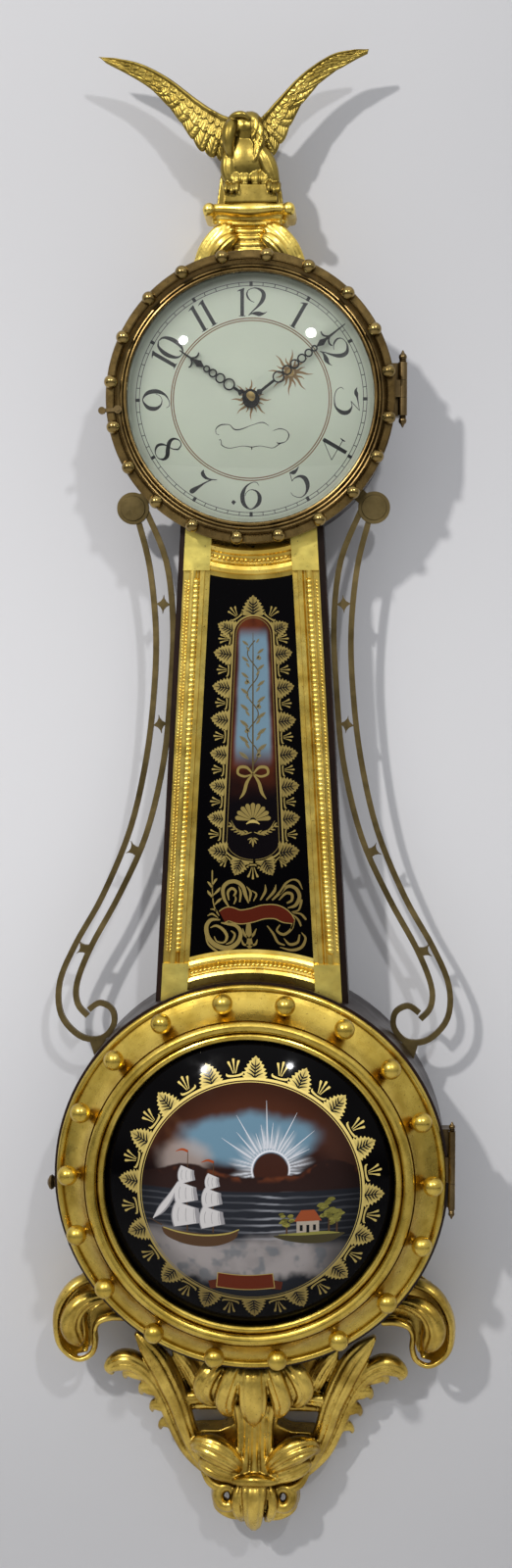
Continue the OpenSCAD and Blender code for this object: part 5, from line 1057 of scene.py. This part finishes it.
# Throat tablet: strokes of x, y and width for its scrolls and its ribbon, and tips of the leaves round the
# panel, left and right
SCROLLS = [[(-17.6, -391.9, 1.1), (-21.4, -385, 2.4), (-22.2, -377.3, 2.9), (-18.3, -372.6, 3),
    (-12.2, -371.8, 3), (-6.8, -375.6, 3), (-4.5, -382.6, 2.6), (-2.2, -388.7, 0.8)],
    [(-17.6, -386.5, 0.9), (-18.4, -380.3, 2), (-15.3, -377.2, 2.1), (-12.2, -379.5, 1.8),
    (-13.7, -383.4, 1.5)], [(-9.9, -375.6, 0.6), (-8.4, -381, 1.8), (-9.1, -388, 1.2)],
    [(-13, -382.6, 0.6), (-12.2, -385.7, 1.4), (-13.8, -389.6, 0.9)],
    [(-3.8, -375.6, 0.4), (-0.7, -380.2, 2), (-1.5, -387.2, 0.9)],
    [(0.1, -378.7, 0.4), (3.9, -381.7, 1.5), (1.6, -387.1, 0.8)],
    [(7, -386.3, 1.1), (10.8, -379.4, 2.1), (10.8, -374, 0.5)],
    [(11.6, -386.3, 1.1), (17.7, -379.3, 2.3), (19.2, -373.9, 0.5)],
    [(16.2, -386.3, 1.2), (23.1, -379.3, 2.6), (26.9, -373.1, 1.8), (32.2, -370, 1.2), (36.8, -371.5, 1.7),
    (39.9, -377.6, 0.5)], [(22.3, -381.6, 1.1), (28.4, -375.4, 2.3), (34.5, -376.9, 2.7), (37.6, -383, 2.9),
    (34.6, -390, 2.6), (28.4, -392.3, 0.9)], [(21.5, -386.2, 0.9), (26.9, -380.8, 2), (31.5, -381.5, 2.3),
    (31.5, -386.2, 2), (27.7, -388.5, 1.2)], [(31.5, -395.4, 0.6), (36.9, -393.8, 1.4), (39.1, -386.9, 1.7),
    (39.1, -385.3, 0.5)], [(32.3, -396.2, 0.6), (38.4, -396.9, 1.5), (42.2, -400.7, 1.7),
    (43, -401.5, 0.4)], [(31.5, -397, 0.6), (36.1, -400.8, 1.5), (38.4, -405.4, 1.5), (38.4, -406.9, 0.4)],
    [(29.2, -398.5, 0.6), (32.3, -403.1, 1.5), (31.5, -407.8, 1.4), (30.8, -409.3, 0.4)],
    [(-27.6, -395.8, 0.9), (-29.9, -388.1, 0.9), (-30.6, -376.6, 0.8), (-30.6, -365, 1.1),
    (-30.6, -362.7, 0.3)], [(-30.6, -377.3, 0.6), (-32.9, -373.5, 1.7), (-34.5, -372, 0.4)],
    [(-30.6, -375, 0.6), (-28.3, -371.1, 1.7), (-26.8, -369.6, 0.4)],
    [(-29.9, -385, 0.6), (-33, -381.2, 2), (-34.5, -378.9, 0.4)],
    [(-29.9, -382.7, 0.6), (-26, -378.8, 2), (-24.5, -376.5, 0.4)],
    [(-29.1, -390.4, 0.6), (-25.3, -386.6, 2), (-23, -385, 0.4)],
    [(-26.1, -400.5, 0.6), (-30.7, -397.4, 1.5), (-34.5, -399, 0.5)],
    [(-25.3, -398.9, 0.6), (-28.4, -394.3, 1.5), (-32.2, -393.6, 0.5)],
    [(-24.5, -402, 0.9), (-31.5, -402.1, 2.6), (-35.3, -407.5, 3.2), (-33.8, -416, 3.5),
    (-27.6, -422.2, 3.8), (-18.4, -424.4, 3.8), (-10.7, -419.7, 3.3), (-8.4, -411.9, 3),
    (-12.2, -406.6, 2.6), (-19.1, -405.1, 2), (-23.8, -404.3, 0.8)],
    [(-32.2, -408.3, 0.6), (-27.6, -406.7, 1.8), (-22.2, -409.7, 2.4), (-19.2, -415.1, 2.3),
    (-21.5, -419.8, 1.5), (-26.9, -419.1, 1.2), (-29.2, -415.2, 0.8)],
    [(-16.1, -410.5, 0.8), (-13, -413.5, 1.7), (-15.3, -419, 1.8), (-19.9, -421.3, 0.8)],
    [(-36.1, -415.3, 0.5), (-33.8, -421.4, 1.4), (-28.4, -426, 1.7), (-26.1, -426.8, 0.4)],
    [(-2.2, -404.2, 3), (-2.2, -411.1, 4.6), (-1.5, -417.3, 3.8), (-1.5, -421.9, 5.3), (-1.5, -424.3, 1.5)],
    [(-6.9, -408.8, 0.6), (-5.3, -413.5, 2), (-2.2, -416.5, 1.2)],
    [(3.9, -408.7, 0.6), (1.6, -413.4, 2), (-1.5, -416.5, 1.2)],
    [(-7.6, -417.3, 0.6), (-6.1, -421.2, 1.8), (-2.2, -421.9, 1.1)],
    [(4.7, -417.2, 0.6), (3.1, -421.1, 1.8), (-0.7, -421.9, 1.1)],
    [(33.8, -401.6, 0.9), (31.5, -408.5, 2), (25.4, -413.2, 2.1), (20, -410.2, 1.7), (22.3, -405.5, 0.9)],
    [(12.3, -406.4, 0.8), (17, -412.5, 1.8), (20.8, -419.4, 1.8), (26.2, -421.7, 0.9)],
    [(25.4, -416.3, 0.6), (30, -420.9, 2), (36.1, -419.3, 2), (37.7, -413.1, 1.1)],
    [(22.3, -423.3, 0.6), (31.5, -425.5, 2), (39.2, -423.1, 2.3), (42.3, -416.2, 1.8), (39.2, -411.6, 0.6)]]
RIBBON = [(-23.0, -399.7, 9.1), (-17.6, -397.3, 10.2), (-9.2, -399.6, 10.2), (0.1, -398.3, 10.2),
    (9.3, -395.6, 10.2), (19.2, -395.5, 10.2), (26.9, -399.3, 9.1), (33.0, -403.1, 3.0)]
LEAF_TIPS = ([(-26, -171), (-29.3, -193), (-30.4, -219), (-31.6, -244), (-32.3, -271), (-32.8, -296),
    (-34.3, -321), (-34, -347)], [(28.6, -171), (31.8, -193), (33.3, -219), (34.7, -245), (36.2, -271),
    (37.4, -296), (37.9, -321), (37.5, -347)])


# Middle of the throat's rails and ornaments; the arched panel's middle and half height; the spring of its
# arch and of its foot; distance of its ground and of the gold on it from the wall
MID = 1.2
PANEL_Y, PANEL_H = -260.5, 95.9
ARCH_Y, FOOT_Y = -178.7, -341.8
GROUND_D, GOLD_D = 68.03, 68.04


def panel_edges(y):
    """Left and right edges of the arched panel at height y."""
    side = np.clip((y - ARCH_Y) / (FOOT_Y - ARCH_Y), 0, 1)
    left, right = -13.8 - 8.5 * side, 17.2 + 7.5 * side
    arch = np.sqrt(np.clip(1 - (np.maximum(y - ARCH_Y, 0) / 14.1)**2, 0, 1))
    foot = np.sqrt(np.clip(1 - (np.maximum(FOOT_Y - y, 0) / 14.6)**2, 0, 1))
    middle = (left + right) / 2
    return middle + (left - middle) * arch * foot, middle + (right - middle) * arch * foot


def panel_edge(side, y):
    return float(panel_edges(np.array(y))[side > 0])


def throat_ground(u, y):
    """Colours of the panel: a soft blue light in red-brown, fading to black below."""
    x = u * 20
    n = mottle(x, y, 14, 41)
    c = np.zeros(u.shape + (3,)) + (0.004, 0.003, 0.004)
    brown = ease(y + 8 * n, -306, -262)
    c = wash(c, (0.115, 0.027, 0.010), brown * (0.55 + 0.45 * ease(n, 0.3, 0.7))
        * ease(1 - np.abs(u), 0.0, 0.30))
    blue = ease(1 - (np.abs(u) / 0.78)**2.4 + 0.25 * (n - 0.5), 0, 0.5) * ease(y, -284, -262) * ease(-y,
        172, 184)
    c = wash(c, (0.155, 0.250, 0.320), blue)
    return c


def throat_tablet():
    t = np.linspace(-math.pi / 2, math.pi / 2, 161)
    y = (PANEL_Y + PANEL_H * np.sin(t))[:, None] + np.zeros((1, 31))
    left, right = panel_edges(y)
    u = np.linspace(-1, 1, 31)[None, :] + np.zeros_like(y)
    x = (left + right) / 2 + (right - left) / 2 * u
    painted_sheet("throat_picture", x, y, np.full_like(x, GROUND_D), throat_ground(u, y), HEAD,
        "painted_glass", "case")
    a = Art(HEAD, lambda x, y, layer: GOLD_D + 0.05 * layer)

    def shade(x, y):
        """The gold is brighter at the left and at the top."""
        return 0.28 - 0.002 * x - 0.08 * min(1, max(0, (-y - 300) / 130))
    heights = [PANEL_Y + PANEL_H * math.sin(k) for k in np.linspace(-math.pi / 2, math.pi / 2, 90)]
    loop = [(panel_edge(1, h), h) for h in heights] + [(panel_edge(-1, h), h) for h in reversed(heights)]
    a.stroke([(px, py, 1.2) for px, py in loop + loop[:2]], gold_leaf(0.27), 2, 2)
    a.stroke([(1.4 + (px - 1.4) * 0.87, PANEL_Y + (py - PANEL_Y) * 0.981, 0.45) for px,
        py in loop + loop[:2]], gold_leaf(0.16), 2, 2)

    def to(foot, tip):
        return math.degrees(math.atan2(tip[0] - foot[0], tip[1] - foot[1])), math.hypot(tip[0] - foot[0],
            tip[1] - foot[1])
    for side, tips in zip((-1, 1), LEAF_TIPS):
        for k, tip in enumerate(tips):
            h = tip[1] - (2.2 if k else 5.6)
            foot = (panel_edge(side, h) + side * 0.4, h)
            angle, size = to(foot, tip)
            engraved_leaf(a, foot[0], foot[1], angle, size, shade(*tip))
            if k < 7:
                h = (tip[1] + tips[k + 1][1]) / 2 - 1
                x = panel_edge(side, h)
                sprig(a, x + side * 2.2, h, side * 86, 9.4, shade(x, h))
    for foot, tip in (((1.3, -164.4), (1.3, -149)), ((-8, -354.6), (-13.1, -367)),
            ((10, -354.6), (16.6, -366.8))):
        angle, size = to(foot, tip)
        engraved_leaf(a, foot[0], foot[1], angle, size, shade(*tip))
    for x, y, angle, size in ((-10.4, -166.4, -36, 10), (13.4, -166.4, 36, 10), (MID, -358.4, 180, 11.6),
            (-18.6, -352.6, -140, 9), (21.4, -352.6, 140, 9)):
        sprig(a, x, y, angle, size, shade(x, y))
    # A wand wound with olive leaves and berries, tied with a bow
    leaf_gold, stem = (0.20, 0.165, 0.085), (0.10, 0.075, 0.030)
    a.stroke([(MID, -286, 1.3), (MID, -240, 1.1), (1.3, -200, 0.9), (1.3, -178, 0.4)], stem, 1, 12)
    a.stroke([(MID + 4.2 * math.sin(k * 0.62), -280 + k * 3.1, 0.8) for k in range(32)], stem, 2, 3)
    for k in range(15):
        y, side = -276 + 6.3 * k, 1 if k % 2 else -1
        x = MID + side * 3.4
        size = 1.0 - 0.025 * k
        a.stroke([(0, 0, 0.4), (0, 2.6, 2.4), (0, 5.4, 3.0), (0, 8.0, 1.6), (0, 9.4, 0.2)], leaf_gold, 3, 4,
            side * 52, (x, y), size)
        a.stroke([(0, 0.6, 0.4), (0, 7.6, 0.2)], stem, 4, 3, side * 52, (x, y), size)
        a.stroke([(0, 0, 0.3), (0, 1.8, 1.8), (0, 4.0, 2.0), (0, 6.4, 0.2)], leaf_gold, 3, 4, -side * 34,
            (MID - side * 2.6, y + 2), size)
        if k % 3 == 1:
            a.ring(x + side * 1.5, y - 3.4, 0.75, 1.5, leaf_gold, 3, 14)
    dull = gold_leaf(0.20)
    for side in (-1, 1):
        for rows in ([(0.4, -287, 1.0), (5, -282.4, 2.2), (10.6, -282.6, 2.2), (11.6, -287.2, 1.8),
                (6.4, -289.4, 1.8), (0.4, -287.6, 0.8)], [(0.6, -288, 1.0), (4.6, -294, 2.4),
                (7.0, -302, 2.4), (10.4, -307, 0.5)]):
            a.stroke([(MID + side * x, y, w) for x, y, w in rows], dull, 2, 6)
    # A shell over two palm sprays, with a drop below
    for k in range(-4, 5):
        t = math.radians(k * 20)
        a.stroke([(MID + q * math.sin(t), -324 + q * math.cos(t), w) for q,
            w in ((2.5, 0.7), (8, 2.4), (12.4, 3.4), (14, 1.0))], gold_leaf(0.20), 2, 5)
    a.stroke([(-4, -326.6, 0.6), (-1.4, -325, 1.8), (MID, -324.4, 2.6), (3.8, -325, 1.8),
        (6.4, -326.6, 0.6)], gold_leaf(0.45), 3, 5)
    for side in (-1, 1):
        a.stroke([(MID + side * x, y, w) for x, y,
            w in ((1, -333, 0.6), (7, -334.4, 1.0), (13, -330.4, 0.8), (17, -324, 0.3))], dull, 2, 6)
        for k in range(6):
            x, y = MID + side * (3.4 + 2.5 * k), -333.6 + (0.1, -0.4, 0.2, 1.4, 3.0, 5.4)[k]
            for up in (-1, 1):
                a.stroke([(0, 0, 0.3), (0, 2.0, 1.3), (0, 4.2, 0.2)], dull, 3, 3,
                    side * (62 if up > 0 else 112) - 18 * side * k / 5, (x, y))
    for angle, size in ((180, 8), (150, 6), (210, 6), (115, 5), (245, 5)):
        a.stroke([(0, 1, 0.3), (0, 4.4, 1.7), (0, 7.6, 0.3)], dull, 2, 4, angle, (MID, -337), size / 8)
    # Scrolls round a bare ribbon
    for line in SCROLLS:
        a.stroke(line, gold_leaf(max(0.12, shade(line[0][0], line[0][1]) - 0.08)), 1, 6)
    a.stroke([(x, y, w + 1.6) for x, y, w in RIBBON], gold_leaf(0.24), 2, 6)
    a.stroke(RIBBON, (0.085, 0.013, 0.006), 3, 6)
    a.make("throat_art", "art_gloss", "painted_glass", "case")


throat_tablet()


# Beads and reeds on the mouldings
def skin_of(*names):
    """A surface to seat small ornaments on, from CAD nodes."""
    points, faces = [], []
    for name in names:
        o, start = nodes[name], len(points)
        points += [o.matrix_world @ v.co for v in o.data.vertices]
        faces += [[start + i for i in f.vertices] for f in o.data.polygons]
    return BVHTree.FromPolygons(points, faces)


def beads(name, skin, runs):
    """Rows of carved beads. A run is its line, pitch, half length, half width, rise, slant and centre."""
    points, faces, n = [], [], 10
    for line, pitch, long, wide, rise, slant, centre in runs:
        q = np.array(line, float)
        reach = np.concatenate([[0], np.cumsum(np.linalg.norm(np.diff(q, axis=0), axis=1))])
        count = int(reach[-1] / pitch)
        for k in range(count):
            at = (k + 0.5) * reach[-1] / count
            (x1, x, x2), (y1, y, y2) = (np.interp((at - 0.5, at, at + 0.5), reach, q[:, i]) for i in (0, 1))
            a = math.atan2(y2 - y1, x2 - x1) + math.radians(slant)
            hit = skin.ray_cast(Vector((x, -200, centre + y)) * MM, Vector((0, 1, 0)))[0]
            if hit is None:
                continue
            d = -hit.y / MM
            start = len(points)
            size = rng.uniform(0.92, 1.06)
            for i in range(1, 4):
                b = math.pi / 2 * i / 3
                for j in range(n):
                    c = 2 * math.pi * j / n
                    u, v = long * size * math.sin(b) * math.cos(c), wide * size * math.sin(b) * math.sin(c)
                    points.append((x + u * math.cos(a) - v * math.sin(a),
                        -d - rise * size * math.cos(b) + 0.25, centre + y + u * math.sin(a) + v
                        * math.cos(a)))
            points.append((x, -d - rise * size + 0.25, centre + y))
            faces += tube(3, n, start, flip=True)
            faces += [[start + 3 * n, start + j, start + (j + 1) % n] for j in range(n)]
    place(new_mesh(name, [Vector(p) * MM for p in points], faces), "gilt", "gilt")


# Radii of the bead rows on the two rails, round the base and round the head
RAIL_LOW, RAIL_TOP = 165.8, 122.4


def moulding_beads():
    runs = []
    for side, top, foot in ((-1, -42.3, -57.8), (1, 44.7, 61.8)):
        def line(off):
            return [(top + side * off, -137), (foot + side * off, -427)]
        runs.append((line(0), 3.8, 3.2, 2.9, 2.8, side * 22, HEAD))
        runs.append((line(5.8), 2.8, 1.8, 1.0, 1.0, side * 38, HEAD))
        runs.append((line(8.2), 2.4, 1.4, 0.8, 0.8, -side * 38, HEAD))
    for centre, r, low, high in ((BASE, RAIL_LOW, 90 - 17.4, 90 + 17.4),
            (HEAD, RAIL_TOP, -90 - 16, -90 + 16)):
        t = np.radians(np.linspace(low, high, 60))
        runs.append((np.stack([MID + r * np.cos(t), r * np.sin(t)], 1), 3.4, 2.4, 1.5, 1.7, 28, centre))
    beads("moulding_beads", skin_of("throat_stiles", "throat_rail_top", "throat_rail_bottom"), runs)


moulding_beads()


def bezel_balls():
    """Turned balls on small collars round the bezel."""
    points, faces, ball, circle, front = [], [], 5.25, 106.2, 88.6
    profile = [(0, ball)] + [(ball * math.sin(math.radians(t)), ball * math.cos(math.radians(t)))
        for t in range(14, 141, 14)]
    profile += [(3.9, -4.1), (3.9, -5.6)]
    n = 24
    for t in (6.9, 24.7, 44, 62.2, 80.1, 98.7, 115.1, 132.6, 150.2, 168.2, 185.4, 204.5, 222.3, 240.4, 258,
            276.4, 295.1, 314.1, 331.1, 348.6):
        x0, y0 = circle * math.sin(math.radians(t)), circle * math.cos(math.radians(t))
        start = len(points)
        for r, h in profile:
            for k in range(n):
                a = 2 * math.pi * k / n
                points.append((x0 + r * math.cos(a), -(front + h), HEAD + y0 + r * math.sin(a)))
        faces += tube(len(profile), n, start)
    o = new_mesh("bezel_turned_balls", [Vector(p) * MM for p in points], faces, merge=0.01 * MM)
    place(o, "ball_brass", "brass", "bezel", ["bezel_balls"])


bezel_balls()


# The two falls of the cord, as a copy of the imported cord
def cord_falls():
    cad = nodes["weight_cord"]
    mesh = cad.data.copy()
    mesh.transform(cad.matrix_world)
    o = linked("cord_falls", mesh)
    o.data.materials.clear()
    o.data.materials.append(MATS["cord"])
    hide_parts("weight_cord")
    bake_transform(o)


cord_falls()


# Stage, light and camera
def one_sided(name, colour, spread, light_falloff=()):
    """Matt paint that is only there from its front, so that views from behind look through it. A light
    falloff is
    painted light: an axis and its stops, each a place along it and a brightness."""
    m = Mat(name, Roughness=0.9)
    cloud = m.node("ShaderNodeTexNoise")
    m.put(cloud, "Scale", 2.5)
    base = m.ramp(cloud.outputs["Fac"], [(at, tuple(c * k for c in colour)) for at,
        k in ((0, 1 - spread), (1, 1 + spread))])
    # Painted light: each falloff darkens the paint along its axis
    for axis, stops in light_falloff:
        low, high = stops[0][0], stops[-1][0]
        split, span = m.node("ShaderNodeSeparateXYZ"), m.node("ShaderNodeMapRange")
        m.put(split, 0, m.place)
        for key, v in (("Value", split.outputs[axis]), ("From Min", low), ("From Max", high)):
            m.put(span, key, v)
        dim = m.ramp(span.outputs["Result"], [((at - low) / (high - low), k) for at, k in stops], "EASE")
        base = m.mix(1, base, dim, "MULTIPLY")
    m.put(m.b, "Base Color", base)
    both = m.node("ShaderNodeMixShader")
    for key, v in ((0, m.node("ShaderNodeNewGeometry").outputs["Backfacing"]), (1, m.b.outputs[0]),
            (2, m.node("ShaderNodeBsdfTransparent").outputs[0])):
        m.put(both, key, v)
    m.put(m.t.nodes["Material Output"], "Surface", both.outputs[0])
    return m.m


def stage_plane(name, corners, material):
    o = new_mesh(name, corners, [(0, 1, 2, 3)], outward=False)
    o.data.materials.append(material)


WALL_Y = 0.0008
FLOOR_Z = -1.62
SPAN = 4
# Painted light on the wall: brightest where the lamps aim, darker above, below and towards the right
WALL_LIGHT_FALLOFF = (("Z", ((-1.05, 0.70), (-0.45, 0.93), (0.22, 0.73))),
    ("X", ((-0.4, 1.03), (0.0, 1.0), (0.45, 0.90))))
stage_plane("wall", [(-SPAN, WALL_Y, FLOOR_Z), (SPAN, WALL_Y, FLOOR_Z), (SPAN, WALL_Y, 3),
    (-SPAN, WALL_Y, 3)], one_sided("wall_paint", (0.80, 0.80, 0.815), 0.012, WALL_LIGHT_FALLOFF))
stage_plane("floor", [(-SPAN, -5, FLOOR_Z), (SPAN, -5, FLOOR_Z), (SPAN, WALL_Y, FLOOR_Z),
    (-SPAN, WALL_Y, FLOOR_Z)], one_sided("floor_paint", (0.74, 0.73, 0.72), 0.02))


def lamp(name, place, power, colour):
    data = bpy.data.lights.new(name, "AREA")
    data.shape, data.size, data.energy, data.color = "DISK", 0.12, power, colour
    o = linked(name, data)
    o.location = place
    o.rotation_euler = (Vector((0, 0, -0.45)) - Vector(place)).to_track_quat("-Z", "Y").to_euler()


lamp("key", (-1.05, -2.0, 1.0), 31, (1.0, 0.98, 0.96))
lamp("fill", (0.66, -1.9, 1.0), 12, (0.97, 0.98, 1.0))

world = bpy.data.worlds.new("room")
bpy.context.scene.world = world
world.use_nodes = True
w = Tree(world.node_tree)
split, half = w.node("ShaderNodeSeparateXYZ"), w.node("ShaderNodeMath", operation="MULTIPLY_ADD")
w.put(split, 0, w.node("ShaderNodeTexCoord").outputs["Generated"])
for key, v in enumerate((split.outputs["Z"], 0.5, 0.5)):
    w.put(half, key, v)
sky = w.ramp(half.outputs[0], [(0.2, (0.10, 0.095, 0.09)), (0.8, (0.62, 0.63, 0.66))])
# What metal and glass mirror is a darker room with a bright ceiling
walls = [(at, (k, k, k * 0.98)) for at, k in ((0.44, 0.13), (0.52, 0.50), (0.62, 0.62), (0.72, 0.55))]
room = w.ramp(half.outputs[0], [(0.30, (0.03, 0.027, 0.024)), *walls, (0.86, (1.1, 1.1, 1.1))])
background = w.t.nodes["Background"]
w.put(background, "Color", w.mix(w.node("ShaderNodeLightPath").outputs["Is Glossy Ray"], sky, room))
w.put(background, "Strength", 0.88)

# The camera that the photo's circles gave; its focal length and the photo's height are in pixels
YAW, PITCH = math.radians(-3.03), math.radians(-4.20)
FOCAL, HEIGHT, SENSOR = 1975, 1600, 36
camera = linked("camera", bpy.data.cameras.new("camera"))
bpy.context.scene.camera = camera
camera.location = (0.083, -1.568, -0.255)
aim = Vector((math.sin(YAW) * math.cos(PITCH), math.cos(YAW) * math.cos(PITCH), math.sin(PITCH)))
camera.rotation_euler = aim.to_track_quat("-Z", "Y").to_euler()
camera.data.sensor_width = SENSOR
camera.data.lens = SENSOR * FOCAL / HEIGHT
bpy.context.scene.view_settings.view_transform = "Standard"
